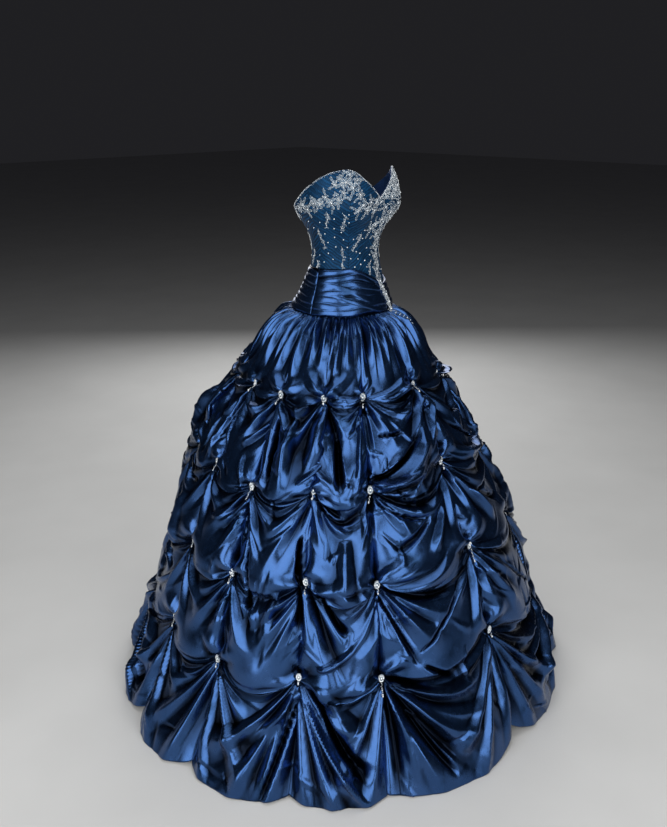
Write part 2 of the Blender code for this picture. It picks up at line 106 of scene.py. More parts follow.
# Rings of the skirt at its fullest: height, half width, depth to the front, depth to the back.
SKIRT_RINGS = (
    (-0.137, 0.1253, 0.1039, 0.1383),
    (-0.147, 0.1283, 0.1061, 0.1457),
    (-0.162, 0.1450, 0.1230, 0.1660),
    (-0.200, 0.1820, 0.1580, 0.2100),
    (-0.260, 0.2280, 0.2020, 0.2620),
    (-0.330, 0.2780, 0.2480, 0.3250),
    (-0.420, 0.3380, 0.3080, 0.3900),
    (-0.520, 0.3950, 0.3580, 0.4550),
    (-0.620, 0.4380, 0.4080, 0.4780),
    (-0.720, 0.4780, 0.4600, 0.4920),
    (-0.820, 0.5080, 0.4980, 0.5200),
    (-0.930, 0.5420, 0.5300, 0.5550),
    (-1.040, 0.5820, 0.5650, 0.5880),
    (-1.110, 0.6120, 0.5900, 0.6000),
    (-1.185, 0.6580, 0.6150, 0.6220),
)
# Columns of pick-ups: turn, gathers to the next column, how much higher its pick-ups sit, lift of the hem.
PICKUP_COLUMNS = (
    (0, 5, 0.024, 0.040), (38, 3, 0.000, 0.006), (60, 3, 0.004, 0.010), (85, 3, -0.010, 0.014),
    (108, 3, 0.006, 0.024), (132, 3, -0.006, 0.020), (156, 3, 0.004, 0.022), (180, 3, 0.000, 0.024),
)
# Rows of pick-ups: height, how far the cloth sags between two of them, how deep they are pulled in.
PICKUP_ROWS = (
    (-0.315, 0.022, 0.030),
    (-0.510, 0.036, 0.044),
    (-0.710, 0.040, 0.050),
    (-0.922, 0.044, 0.052),
)
FIRST_ROW_LIFT = 0.2
PUFF_SHAPE = ((0.0, 0.50), (0.25, 0.68), (0.50, 0.88), (0.72, 1.00), (0.86, 0.94), (1.0, 0.50))
GATHERED_SHAPE = ((0.0, 1.00), (0.25, 1.00), (0.60, 1.00), (0.84, 0.96), (1.0, 0.50))
HEM_SHAPE = ((0.0, 0.50), (0.25, 0.68), (0.55, 0.90), (0.80, 1.00), (1.0, 0.86))
PUFF_WIDTH = 0.60
VALLEY_SHARE = 0.50
PUFF_DROOP = 0.016
VALLEY_START = 3
SWELL = 0.0050
SKIRT_GORES = (
    ("skirt_front", -38, 38), ("skirt_side_front_left", 38, 85), ("skirt_side_back_left", 85, 132),
    ("skirt_back_left", 132, 180), ("skirt_back_right", 180, 228), ("skirt_side_back_right", 228, 275),
    ("skirt_side_front_right", 275, 322),
)
# Steps of the fine cloth in each tier, and between two columns of pick-ups that stand far apart or close.
TIER_STEPS = (58, 70, 70, 70, 74)
FAR_STEPS, CLOSE_STEPS = 84, 52

# Pick-ups further round than this have no brooch.
CLUSTER_TURN_LIMIT = 110.0
# The beaded strip's middle line: turn, height and width.
STRIP_PATH = (
    (15.0, -0.0700, 0.008), (18.0, -0.0850, 0.012), (21.5, -0.1050, 0.014),
    (24.5, -0.1250, 0.014), (27.5, -0.1440, 0.010),
)


# Shared shapes

def smooth(x, table, column=1):
    """A smooth curve through a table's first column and another one, with no overshoot at its steps."""
    xs = np.array([row[0] for row in table], float)
    ys = np.array([row[column] for row in table], float)
    if xs[0] > xs[-1]:
        xs, ys = xs[::-1], ys[::-1]
    steps = np.diff(ys) / np.diff(xs)
    before, after = steps[:-1], steps[1:]
    same_way = before * after > 0
    middle = np.where(same_way, 2 * before * after / np.where(same_way, before + after, 1.0), 0.0)
    slopes = np.concatenate([steps[:1], middle, steps[-1:]])
    x = np.clip(x, xs[0], xs[-1])
    i = np.clip(np.searchsorted(xs, x, side="right") - 1, 0, len(xs) - 2)
    width = xs[i + 1] - xs[i]
    t = (x - xs[i]) / width
    start = ys[i] * (1 + 2 * t) * (1 - t) ** 2 + slopes[i] * width * t * (1 - t) ** 2
    end = ys[i + 1] * t * t * (3 - 2 * t) + slopes[i + 1] * width * t * t * (t - 1)
    return start + end


def around(turn):
    """The same turn between -180 and 180 degrees."""
    return (np.asarray(turn, float) + 180.0) % 360.0 - 180.0


def ring_radius(turn, height, rings):
    """Distance from the axis to a ring that is half an ellipse in front and half another behind."""
    angle = np.radians(around(turn))
    half_width = smooth(height, rings, 1)
    depth = np.where(np.cos(angle) > 0, smooth(height, rings, 2), smooth(height, rings, 3))
    return 1.0 / np.sqrt((np.cos(angle) / depth) ** 2 + (np.sin(angle) / half_width) ** 2)


def place(turn, radius, height):
    """Points from their turn, distance from the axis and height."""
    angle = np.radians(turn)
    return np.stack([radius * np.sin(angle), -radius * np.cos(angle), height + 0.0 * radius], axis=-1)


def bell(distance):
    return np.exp(-distance * distance)


def normals_of(points, closed):
    """Outward normals of a grid whose rows go up and whose columns go round by growing turn."""
    if closed:
        across = np.roll(points, -1, axis=1) - np.roll(points, 1, axis=1)
    else:
        across = np.gradient(points, axis=1)
    out = np.cross(across, np.gradient(points, axis=0))
    return out / (np.linalg.norm(out, axis=-1, keepdims=True) + 1e-12)


def neckline(turn):
    return smooth(np.abs(around(turn)), NECKLINE)


def band_top(turn):
    return smooth(around(turn), BAND_TOP)


def cups(turn, height):
    """How far the cups stand out. They fall away faster under the bust than above it."""
    spread = np.where(height < CUP_HEIGHT, CUP_DROP_BELOW, CUP_RISE_ABOVE)
    rise = bell((height - CUP_HEIGHT) / spread)
    across = bell((np.abs(around(turn)) - CUP_TURN) / CUP_SPREAD)
    return CUP_DEPTH * rise * across


def body_points(turn, height, out=0.0):
    """Points of the fitted body's surface, moved out by a distance."""
    radius = ring_radius(turn, height, BODY_RINGS) + cups(turn, height) + out
    return place(turn, radius, height)


def all_columns():
    """The columns of pick-ups right round the gown: turn, gathers to the next one, lift, hem lift."""
    turns = [row[0] for row in PICKUP_COLUMNS]
    turns += [360.0 - turn for turn in turns[-2:0:-1]]
    gathers = [row[1] for row in PICKUP_COLUMNS[:-1]]
    gathers += gathers[::-1]
    lifts = [row[2:] for row in PICKUP_COLUMNS]
    lifts += lifts[-2:0:-1]
    return [(turn, number, *lift) for turn, number, lift in zip(turns, gathers, lifts)]


COLUMNS = all_columns()


def sector(turn):
    """Which two columns a turn lies between, and how far from the first to the second."""
    starts = np.array([row[0] for row in COLUMNS] + [360.0])
    turn = np.asarray(turn, float) % 360.0
    i = np.clip(np.searchsorted(starts, turn, side="right") - 1, 0, len(COLUMNS) - 1)
    return i, (turn - starts[i]) / (starts[i + 1] - starts[i])


def between_columns(turn, field):
    """A value of the columns' table, carried over from each column to the next."""
    i, share = sector(turn)
    values = np.array([row[field] for row in COLUMNS] + [COLUMNS[0][field]])
    return values[i] * (1 - share) + values[i + 1] * share


def line_height(line, turn):
    """Height of a line across the skirt: 0 is its top, 1 to 4 the rows of pick-ups and 5 the hem."""
    _, share = sector(turn)
    if line == 0:
        return np.full(np.shape(share), SKIRT_TOP)
    if line > len(PICKUP_ROWS):
        return FLOOR + between_columns(turn, 3) * (1 - np.sin(np.pi * share)) ** 2
    height, sag, _ = PICKUP_ROWS[line - 1]
    lift = between_columns(turn, 2) * (FIRST_ROW_LIFT if line == 1 else 1.0)
    return height + lift - sag * 4 * share * (1 - share)


def wander(tier, i):
    """A steady, uneven number from -1 to 1 for each puff."""
    return np.sin(12.9 * (tier + 1) + 7.7 * i + 4.1 * np.sin(3.3 * i + tier))


# Meshes

def grid_faces(rows, columns, closed=False):
    index = np.arange(rows * columns).reshape(rows, columns)
    right = np.roll(index, -1, axis=1) if closed else index[:, 1:]
    left = index if closed else index[:, :-1]
    return np.stack([left[:-1], right[:-1], right[1:], left[1:]], axis=-1).reshape(-1, 4)


def mesh_of(name, points, faces, material, shade_smooth=True):
    """An object from an array of points and one of faces with the same number of corners each."""
    points = np.asarray(points, np.float32).reshape(-1, 3)
    faces = np.asarray(faces, np.int32)
    mesh = bpy.data.meshes.new(name)
    mesh.vertices.add(len(points))
    mesh.vertices.foreach_set("co", points.ravel())
    corners = faces.shape[1]
    mesh.loops.add(faces.size)
    mesh.loops.foreach_set("vertex_index", faces.ravel())
    mesh.polygons.add(len(faces))
    mesh.polygons.foreach_set("loop_start", np.arange(len(faces), dtype=np.int32) * corners)
    mesh.polygons.foreach_set("loop_total", np.full(len(faces), corners, np.int32))
    mesh.update(calc_edges=True)
    mesh.validate()
    if shade_smooth:
        mesh.shade_smooth()
    mesh.materials.append(material)
    obj = bpy.data.objects.new(name, mesh)
    bpy.context.scene.collection.objects.link(obj)
    return obj


def blurred(field, reach):
    """A field evened out over its neighbours, closed round its columns."""
    for _ in range(2):
        across = sum(np.roll(field, k, axis=1) for k in range(-reach, reach + 1)) / (2 * reach + 1)
        padded = np.pad(across, ((reach, reach), (0, 0)), "edge")
        field = sum(padded[k:k + len(field)] for k in range(2 * reach + 1)) / (2 * reach + 1)
    return field


def dressed(piece, stands_for=None):
    """Fix a piece to the gown, and hide the solid whose place it takes."""
    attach(piece, "root")
    if stands_for:
        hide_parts(stands_for)


def cloth_piece(name, points, painted_shade, material):
    """A sheet in place of a solid. It keeps each point's painted shade, from how deep it lies: 0 on a crest,
    1 in the deepest gap.
    """
    piece = mesh_of(name + "_cloth", points, grid_faces(*points.shape[:2]), material)
    # Painted shade kept on the points, which the materials read to darken the gaps between folds.
    values = piece.data.attributes.new("painted_shade", "FLOAT", "POINT")
    values.data.foreach_set("value", np.asarray(painted_shade, np.float32).ravel())
    dressed(piece, name)
    return piece, points


# Materials

class Look:
    """A material being made, with the textures that the gown's materials share."""

    def __init__(self, name, colour, roughness, metallic):
        self.material = bpy.data.materials.new(name)
        self.material.use_nodes = True
        tree = self.material.node_tree
        self.nodes, self.link, self.inputs = tree.nodes, tree.links.new, tree.nodes["Principled BSDF"].inputs
        self.inputs["Base Color"].default_value = (*colour, 1.0)
        self.inputs["Roughness"].default_value = roughness
        self.inputs["Metallic"].default_value = metallic

    def texture(self, kind, stretch=(1, 1, 1), **values):
        """A texture fixed to the object, drawn out along one direction or another."""
        mapping = self.nodes.new("ShaderNodeMapping")
        mapping.inputs["Scale"].default_value = stretch
        self.link(self.nodes.new("ShaderNodeTexCoord").outputs["Object"], mapping.inputs["Vector"])
        texture = self.nodes.new(kind)
        for name, value in values.items():
            texture.inputs[name].default_value = value
        self.link(mapping.outputs["Vector"], texture.inputs["Vector"])
        return texture

    def noise(self, scale, detail=3.0, stretch=(1, 1, 1)):
        return self.texture("ShaderNodeTexNoise", stretch, Scale=scale, Detail=detail).outputs["Fac"]

    def ribs(self, scale, distortion):
        """Fine ribs, one above the other."""
        texture = self.texture("ShaderNodeTexWave", Scale=scale, Distortion=distortion, Detail=1.0)
        texture.bands_direction = "Z"
        return texture.outputs["Fac"]

    def cells(self, scale):
        """Distance to the nearest side of small irregular cells."""
        texture = self.texture("ShaderNodeTexVoronoi", Scale=scale)
        texture.feature = "DISTANCE_TO_EDGE"
        return texture.outputs["Distance"]

    def ramp(self, value, *steps):
        """Colours (or greys) by a value, through steps of (position, colour)."""
        node = self.nodes.new("ShaderNodeValToRGB")
        while len(node.color_ramp.elements) < len(steps):
            node.color_ramp.elements.new(0.5)
        for element, (position, colour) in zip(node.color_ramp.elements, steps):
            element.position = position
            element.color = (*colour, 1.0) if hasattr(colour, "__len__") else (colour, colour, colour, 1.0)
        self.link(value, node.inputs["Fac"])
        return node.outputs["Color"]

    def times(self, colour, other):
        mix = self.nodes.new("ShaderNodeMix")
        mix.data_type = "RGBA"
        mix.blend_type = "MULTIPLY"
        mix.inputs["Factor"].default_value = 1.0
        self.link(colour, mix.inputs["A"])
        self.link(other, mix.inputs["B"])
        return mix.outputs["Result"]

    def with_painted_light_and_shade(self, colour, *steps):
        """A colour multiplied by painted shade, which darkens it in the gaps between folds; steps above 1
        paint a highlight on the crests.
        """
        painted_shade = self.nodes.new("ShaderNodeAttribute")
        painted_shade.attribute_name = "painted_shade"
        return self.times(colour, self.ramp(painted_shade.outputs["Fac"], *steps))

    def finish(self, colour, *bumps):
        """The material, with its colour and bumps over one another: each is (height, strength, distance)."""
        self.link(colour, self.inputs["Base Color"])
        before = None
        for height, strength, distance in bumps:
            node = self.nodes.new("ShaderNodeBump")
            node.inputs["Strength"].default_value = strength
            node.inputs["Distance"].default_value = distance
            self.link(height, node.inputs["Height"])
            if before:
                self.link(before, node.inputs["Normal"])
            before = node.outputs["Normal"]
        if before:
            self.link(before, self.inputs["Normal"])
        return self.material


def taffeta_material():
    """Glossy taffeta: two blues of thread, a fine crosswise rib, a faint crushed grain, and painted shade
    that darkens it in the gaps between folds.
    """
    look = Look("taffeta_cloth", (0.031, 0.080, 0.212), 0.24, 0.95)
    threads = look.ramp(look.noise(22.0, 6.0, (1.0, 1.0, 0.4)), (0.28, (0.015, 0.042, 0.108)),
                        (0.40, (0.031, 0.080, 0.212)), (0.80, (0.040, 0.092, 0.235)))
    look.link(look.ramp(look.noise(70.0, 4.0), (0.30, 0.20), (0.75, 0.30)), look.inputs["Roughness"])
    # Painted shade: the colour darkens to almost black in the deepest gaps between folds.
    return look.finish(look.with_painted_light_and_shade(threads, (0.0, 1.0), (0.30, 0.42), (0.85, 0.04)),
                       (look.noise(55.0, 3.0, (1.0, 1.0, 0.45)), 0.14, 0.0010),
                       (look.ribs(190.0, 1.5), 0.12, 0.0002))


def net_material():
    """Fine net gathered over dark satin, with painted shade between the gathers and a painted highlight on
    their crests.
    """
    look = Look("net_over_satin", (0.003, 0.040, 0.105), 0.55, 0.25)
    look.inputs["Specular IOR Level"].default_value = 0.12
    look.inputs["Sheen Weight"].default_value = 0.03
    threads = look.ramp(look.cells(620.0), (0.03, (0.005, 0.058, 0.150)), (0.16, (0.001, 0.022, 0.064)))
    tone = look.ramp(look.noise(34.0, 4.0), (0.30, 0.75), (0.70, 1.25))
    # Painted highlight on the crests (up to 1.25 times as bright) and painted shade in the gaps between
    # gathers.
    return look.finish(look.with_painted_light_and_shade(look.times(threads, tone), (0.0, 1.25), (0.5, 0.9), (1.0, 0.40)),
                       (look.noise(60.0, 3.0, (1.0, 1.0, 5.0)), 0.35, 0.0008),
                       (look.cells(620.0), 0.25, 0.0003))


def lining_material():
    look = Look("lining_satin", (0.015, 0.045, 0.14), 0.35, 0.5)
    colour = look.ramp(look.noise(40.0), (0.3, (0.012, 0.036, 0.11)), (0.7, (0.020, 0.055, 0.17)))
    return look.finish(colour, (look.ribs(240.0, 1.0), 0.12, 0.0002))


def silver_material(name, dark, light, roughness, metallic):
    """Silver beads, stones or thread, no two quite the same."""
    look = Look(name, light, roughness, metallic)
    colour = look.ramp(look.noise(420.0, 2.0), (0.35, dark), (0.65, light))
    return look.finish(colour, (look.noise(1500.0, 2.0), 0.15, 0.0002))


TAFFETA = taffeta_material()
NET = net_material()
LINING = lining_material()
BEADS = silver_material("silver_beads", (0.46, 0.53, 0.58), (0.90, 0.93, 0.95), 0.16, 0.65)
STONES = silver_material("clear_stones", (0.80, 0.88, 0.92), (1.0, 1.0, 1.0), 0.08, 0.55)
THREAD = silver_material("silver_thread", (0.04, 0.09, 0.15), (0.15, 0.21, 0.27), 0.50, 0.30)
PULL_METAL = silver_material("pull_metal", (0.05, 0.08, 0.16), (0.09, 0.13, 0.22), 0.30, 0.85)


# Skirt

def skirt_base(turn, tier, share):
    """Points of the skirt's puffs before their creases, in one tier at a share of the way down it."""
    i, across = sector(turn)
    upper, lower = line_height(tier, turn), line_height(tier + 1, turn)
    last = len(PICKUP_ROWS)
    gathered, hem = tier == 0, tier == last
    fullness = smooth(share, GATHERED_SHAPE if gathered else HEM_SHAPE if hem else PUFF_SHAPE)
    lobe = np.sin(np.pi * across) ** PUFF_WIDTH
    middle = np.sin(0.5 * np.pi * share) if hem else np.sin(np.pi * share)
    if gathered:
        valley = 1 - (1 - lobe) * share ** VALLEY_START
    else:
        near_pickup = np.cos(0.5 * np.pi * share) if hem else np.abs(np.cos(np.pi * share))
        valley = 1 - (1 - lobe) * (VALLEY_SHARE + (1 - VALLEY_SHARE) * near_pickup)
    keep = [VALLEY_KEEP[0], *VALLEY_KEEP, VALLEY_KEEP[-1]]
    kept = np.array(keep[tier])[i] * (1 - share) + np.array(keep[tier + 1])[i] * share
    fullness = 1 - (1 - fullness) * (1 + (kept - 1) * lobe)
    depths = [0.0, *[row[2] for row in PICKUP_ROWS], PICKUP_ROWS[-1][2]]
    depth = depths[tier] * (1 - share) + depths[tier + 1] * share
    height = upper + (lower - upper) * share
    if not gathered and not hem:
        height = height - PUFF_DROOP * lobe * fullness * middle
    radius = ring_radius(turn, height, SKIRT_RINGS) - depth * (1 - fullness * valley)
    if not gathered:
        radius = radius + SWELL * wander(tier, i) * lobe * middle
    return place(turn, radius, height)


def skirt_layout():
    """Turns of the fine cloth's columns, its rows as (tier, share), and the column of each pick-up column."""
    starts = [row[0] for row in COLUMNS] + [360.0]
    turns, marks = [], {}
    for a, b in zip(starts[:-1], starts[1:]):
        marks[int(a)] = sum(map(len, turns))
        turns.append(np.linspace(a, b, FAR_STEPS if b - a > 30 else CLOSE_STEPS, endpoint=False))
    rows = []
    for tier, steps in enumerate(TIER_STEPS):
        rows += [(tier, k / steps) for k in range(steps + (tier == len(PICKUP_ROWS)))]
    return np.concatenate(turns), rows, marks


class Creases:
    """Height of the creases over the skirt's base, added up fold by fold in the cloth's own flat sizes."""

    def __init__(self, base, turn):
        self.turn = turn
        self.level = base[..., 2]
        self.radius = np.hypot(base[..., 0], base[..., 1])
        down = np.linalg.norm(np.diff(base, axis=0), axis=-1)
        self.down = np.concatenate([np.zeros((1, len(turn))), np.cumsum(down, axis=0)])
        self.height = np.zeros(self.down.shape)

    def column_at(self, turn):
        return int(np.argmin(np.abs(around(self.turn - turn))))

    def fold(self, turn, row, angle, length, half_width, height, bow=0.0, narrow=0.004, rise=0.12, fade=0.35,
             power=1.1):
        """A fold from a place on the cloth: angle 0 goes towards the wearer's left and 90 up.

        It is narrow where it starts, rises within one share of its length, and fades away from another on.
        """
        column = self.column_at(turn)
        near = max(self.radius[row, column], LEAST_RADIUS)
        reach = length + abs(bow) * length + half_width
        wide = min(179.0, math.degrees(reach / (0.8 * near)) + 2)
        columns = np.nonzero(np.abs(around(self.turn - turn)) < wide)[0]
        from_top = self.down[row, column]
        rows = np.nonzero(np.abs(self.down[:, column] - from_top) < reach * 1.1)[0]
        block = np.ix_(rows, columns)
        x = np.radians(around(self.turn[columns] - turn)) * self.radius[block]
        y = from_top - self.down[block] + (self.down[row, columns] - from_top)[None, :]
        a = math.radians(angle)
        end = np.array([math.cos(a), math.sin(a)]) * length
        middle = end / 2 + np.array([-math.sin(a), math.cos(a)]) * bow * length
        curve = [2 * t * (1 - t) * middle + t * t * end for t in np.linspace(0, 1, FOLD_STEPS)]
        best = np.full(x.shape, 1e9)
        along = np.zeros(x.shape)
        for k in range(len(curve) - 1):
            p, q = curve[k], curve[k + 1]
            d = q - p
            s = np.clip(((x - p[0]) * d[0] + (y - p[1]) * d[1]) / (d @ d), 0, 1)
            off = np.hypot(x - p[0] - s * d[0], y - p[1] - s * d[1])
            closer = off < best
            best = np.where(closer, off, best)
            along = np.where(closer, (k + s) / (len(curve) - 1), along)
        width = narrow + (half_width - narrow) * along ** 0.8
        step = math.radians(2 * wide / len(columns)) * near
        rounded = np.clip(max(CREST_RADIUS, CREST_STEPS * step) / width, *CREST_ROUND)
        away = np.sqrt((best / width) ** 2 + rounded ** 2)
        profile = np.clip(1 - away, 0, None) ** power / (1 - rounded) ** power
        late = np.clip((along - fade) / (1 - fade), 0, 1)
        shown = np.clip(along / rise, 0, 1) ** 0.6 * (1 - late) ** 2 * (1 + 2 * late)
        self.height[block] += height * profile * shown

    def between(self, start, end, half_width, height, bow=0.0):
        """A long fold from one turn and height to another."""
        a, b = self.column_at(start[0]), self.column_at(end[0])
        row = int(np.argmin(np.abs(self.level[:, a] - start[1])))
        last = int(np.argmin(np.abs(self.level[:, b] - end[1])))
        radius = 0.5 * (self.radius[row, a] + self.radius[last, b])
        x = radius * math.radians(float(around(end[0] - start[0])))
        y = self.down[row, b] - self.down[last, b]
        if height < 0:
            half_width, height = GAP_NARROWER * half_width, GAP_DEEPER * height
        longer, fade = LONG_TO_HEM if end[1] < HEM_REACH else (1.0, 0.55)
        self.fold(start[0], row, math.degrees(math.atan2(y, x)), math.hypot(x, y) * longer, half_width,
                  height, bow, narrow=0.45 * half_width, rise=0.16, fade=fade, power=1.0)

    def pinch(self, turn, row, reach):
        """Flatten the creases close to a place where the cloth is sewn down."""
        x = np.radians(around(self.turn - turn)) * self.radius[row]
        near = np.nonzero(np.abs(x) < 4 * reach)[0]
        y = self.down[:, near] - self.down[row, near]
        self.height[:, near] *= 1 - PINCHED * bell(np.hypot(x[near], y) / reach)


# How the cloth's distance from the axis is limited at its top, and the steps of a fold's bowed middle line.
LEAST_RADIUS = 0.12
FOLD_STEPS = 15
# How much narrower and deeper than they are measured the gaps between the long folds are made.
GAP_NARROWER = 0.85
GAP_DEEPER = 1.45
# Folds that end below this height run right down to the hem.
HEM_REACH = -1.09
# For long folds that reach the hem, and for those from the last row: how much longer, and where they fade.
LONG_TO_HEM = (1.20, 0.65)
FAN_TO_HEM = (1.18, 0.50)
# Folds of the last row longer than this reach the hem.
FAN_HEM_LENGTH = 0.24

# Long folds between and across the puffs, from one turn and depth below the waist to another, then half width
# and height (below 0 a gap), all in millimetres, and bow.
LONG_FOLDS = (
    (-72, 361, -72, 533, 24, 20, 0), (-80, 366, -77, 527, 18, -24, 0), (-63, 357, -61, 483, 22, 18, 0),
    (-52, 397, -49, 514, 20, -20, 0), (-41, 354, -44, 533, 10, 13, 0), (-32, 396, -18, 389, 9, -12, 0),
    (-38, 492, -8, 380, 12, -16, 0), (-37, 486, 0, 424, 22, 14, 0), (-38, 489, -11, 471, 16, 10, 0),
    (-3, 346, 7, 474, 30, 16, 0), (-110, 401, -103, 474, 12, 12, 0), (-95, 437, -83, 376, 18, 13, 0),
    (-89, 520, -94, 447, 10, 11, 0), (-66, 490, -52, 494, 12, 14, 0.12),
    (-38, 529, -11, 575, 7, -13, -0.03), (-9, 572, -19, 666, 20, 15, 0),
    (-16, 583, -34, 640, 16, -8, 0), (-60, 511, -43, 565, 12, -18, -0.22),
    (-56, 546, -45, 597, 14, 12, -0.22), (-85, 547, -95, 625, 16, 15, 0.1),
    (-63, 605, -60, 817, 15, -26, 0), (-48, 609, -48, 787, 34, 16, 0), (-57, 701, -45, 816, 16, -24, 0),
    (-55, 887, -42, 800, 14, 13, 0), (-39, 730, -26, 908, 11, -17, 0), (-27, 865, -8, 719, 10, -12, 0),
    (-26, 900, -16, 949, 14, -13, 0), (-59, 949, -66, 1168, 13, -20, 0),
    (-60, 950, -73, 1077, 22, 16, 0), (-56, 942, -43, 1108, 20, -24, 0),
    (-57, 975, -43, 1170, 9, 13, 0), (-54, 920, -44, 1057, 36, 20, 0), (-36, 939, -31, 1123, 18, 16, 0),
    (-33, 993, -22, 1139, 16, -20, 0), (-34, 937, -17, 1096, 24, 15, 0),
    (-63, 970, -66, 1161, 24, 17, 0), (-80, 626, -75, 843, 14, -22, 0), (-68, 728, -71, 841, 20, 14, 0),
)

# Folds that run out from the pick-ups: angle, then length, half width at the far end and height (below 0 a
# trough) in millimetres.
# Row by row, the sets for the columns at 0, -38, -60, -85 and -108 degrees.
FANS = (
    (
        ((192, 170, 14, 7), (205, 150, 20, 9), (-20, 140, 20, 10), (-38, 170, 22, 13), (5, 120, 15, 8),
         (-100, 170, 32, 17), (-122, 280, 32, 15), (-75, 200, 26, 11), (150, 80, 20, 11),
         (60, 90, 16, 8)),
        ((22, 160, 13, 7), (10, 190, 13, 8), (-3, 210, 13, 8), (-15, 190, 15, 7), (-32, 120, 16, 7),
         (-90, 200, 12, -6), (200, 90, 15, 8), (160, 100, 16, 8), (-60, 160, 26, 11)),
        ((62, 110, 22, 12), (118, 110, 20, 11), (8, 120, 12, 7), (-6, 130, 13, 7), (-91, 210, 34, 19),
         (-120, 260, 28, 15), (-62, 170, 32, -14), (176, 70, 22, 12), (200, 100, 20, 10),
         (90, 100, 12, 7)),
        ((0, 100, 14, 9), (-15, 100, 14, 8), (-50, 160, 30, 14), (-85, 190, 26, 12), (-120, 200, 28, 14),
         (180, 100, 16, 9), (205, 120, 18, 10), (60, 90, 18, 9), (120, 100, 18, 9)),
        ((10, 90, 14, 8), (-30, 120, 22, 11), (-80, 180, 28, 13), (-125, 180, 26, 12), (185, 100, 16, 9),
         (70, 100, 18, 9), (130, 90, 16, 8)),
    ),
    (
        ((8, 140, 14, 9), (-4, 150, 14, 9), (-16, 140, 16, 9), (-42, 220, 32, 15), (-70, 170, 22, 11),
         (-103, 180, 24, 13), (188, 100, 16, 9), (205, 120, 18, 8), (122, 150, 30, 13),
         (60, 120, 20, 10)),
        ((38, 270, 36, 16), (25, 220, 22, 11), (12, 150, 13, 7), (-7, 280, 20, -13), (-15, 240, 22, 9),
         (52, 190, 20, 9), (-90, 180, 12, -6), (195, 120, 20, 10), (165, 110, 20, 9), (-40, 160, 26, 10)),
        ((215, 150, 26, 14), (190, 100, 20, 11), (-95, 120, 20, 11), (-35, 120, 20, 11),
         (-18, 170, 22, -12), (-72, 140, 22, 11), (122, 80, 32, 15), (60, 80, 30, 14),
         (-125, 200, 28, 13), (0, 120, 14, 8)),
        ((-5, 120, 16, 10), (-30, 140, 22, 12), (-65, 170, 28, 14), (-100, 180, 26, 13),
         (-135, 180, 28, 13), (178, 110, 16, 9), (200, 120, 18, 10), (110, 90, 26, 12),
         (50, 100, 22, 10)),
        ((8, 100, 16, 9), (-28, 140, 24, 12), (-75, 180, 28, 14), (-120, 180, 28, 13), (190, 110, 16, 10),
         (120, 100, 22, 10), (60, 100, 20, 9)),
    ),
    (
        ((10, 160, 16, 10), (-8, 170, 16, 10), (-24, 180, 22, 11), (-50, 220, 34, 16), (-78, 200, 24, 12),
         (-112, 200, 28, 14), (184, 120, 16, 9), (206, 140, 20, 10), (135, 140, 28, 12),
         (55, 130, 22, 10)),
        ((46, 130, 20, 11), (28, 170, 22, 11), (13, 270, 26, 16), (-2, 310, 18, -13), (-20, 230, 22, 10),
         (-45, 230, 36, 18), (-64, 150, 22, 10), (-92, 140, 14, 9), (172, 100, 18, 9), (200, 120, 20, 9)),
        ((-58, 220, 38, -20), (-112, 190, 22, 12), (140, 120, 22, 12), (200, 170, 30, 14),
         (-134, 180, 30, 14), (28, 130, 22, 11), (-85, 160, 20, 12), (70, 100, 22, 10), (0, 130, 16, 9)),
        ((0, 120, 16, 10), (-28, 150, 24, 12), (-62, 200, 32, 16), (-96, 200, 26, 14),
         (-130, 200, 28, 14), (180, 120, 16, 9), (204, 140, 20, 10), (120, 100, 26, 11),
         (55, 110, 22, 10)),
        ((6, 110, 16, 10), (-30, 160, 26, 13), (-72, 200, 30, 15), (-118, 190, 28, 14),
         (188, 120, 16, 10), (125, 100, 22, 10), (58, 100, 20, 9)),
    ),
    (
        ((4, 200, 20, 11), (-14, 240, 22, 12), (-34, 280, 28, 15), (-56, 280, 30, 15), (-76, 270, 28, 13),
         (-96, 270, 28, 14), (-118, 280, 30, 15), (-142, 260, 30, 14), (178, 160, 18, 10),
         (120, 120, 26, 11), (60, 120, 24, 11)),
        ((2, 290, 24, -14), (-7, 250, 20, 11), (-20, 270, 24, 14), (-34, 310, 28, 16),
         (-48, 290, 26, -14), (-62, 280, 28, 14), (-84, 290, 22, -13), (-99, 260, 28, 14),
         (-122, 260, 28, 12), (150, 130, 26, 11), (184, 140, 18, 9), (50, 120, 22, 10)),
        ((-99, 310, 30, 16), (-117, 290, 30, 16), (-137, 270, 30, 15), (-81, 290, 28, 13),
         (-67, 310, 26, 15), (-55, 340, 28, 15), (162, 90, 22, 12), (28, 120, 30, 12), (-32, 220, 26, 12),
         (188, 140, 20, 10), (80, 100, 20, 9)),
        ((-2, 150, 18, 10), (-28, 200, 26, 13), (-56, 270, 30, 15), (-80, 280, 28, 14),
         (-104, 280, 30, 15), (-130, 260, 30, 14), (182, 150, 18, 10), (206, 180, 22, 11),
         (120, 110, 26, 11), (55, 110, 22, 10)),
        ((4, 130, 18, 10), (-34, 200, 28, 13), (-68, 260, 30, 15), (-96, 270, 28, 14),
         (-126, 260, 30, 15), (186, 150, 18, 10), (124, 110, 24, 11), (58, 110, 22, 10)),
    ),
)
FAN_COLUMNS = (0, 322, 300, 275, 252)
# Copies of the long folds: which way round, how far on, and between which turns they are left out.
LONG_FOLD_COPIES = ((1, 0, (0, 0)), (-1, 0, (-112, -1)), (1, -71, (-112, 12)), (-1, 71, (-12, 112)))
SMALL_PLEATS = 11
# How much a fold's crest is rounded: the least radius, in metres and in steps of the cloth, and the least and
# most as a share of the half width.
CREST_RADIUS = 0.0032
CREST_STEPS = 0.85
CREST_ROUND = (0.13, 0.55)
# How much bigger the folds that run out from the pick-ups are made, and how much wider.
FAN_SCALE = 1.20
FAN_WIDEN = 1.35
# How much looser the angles are in the fans that are repeated round the back.
REPEAT_LOOSER = 2.2
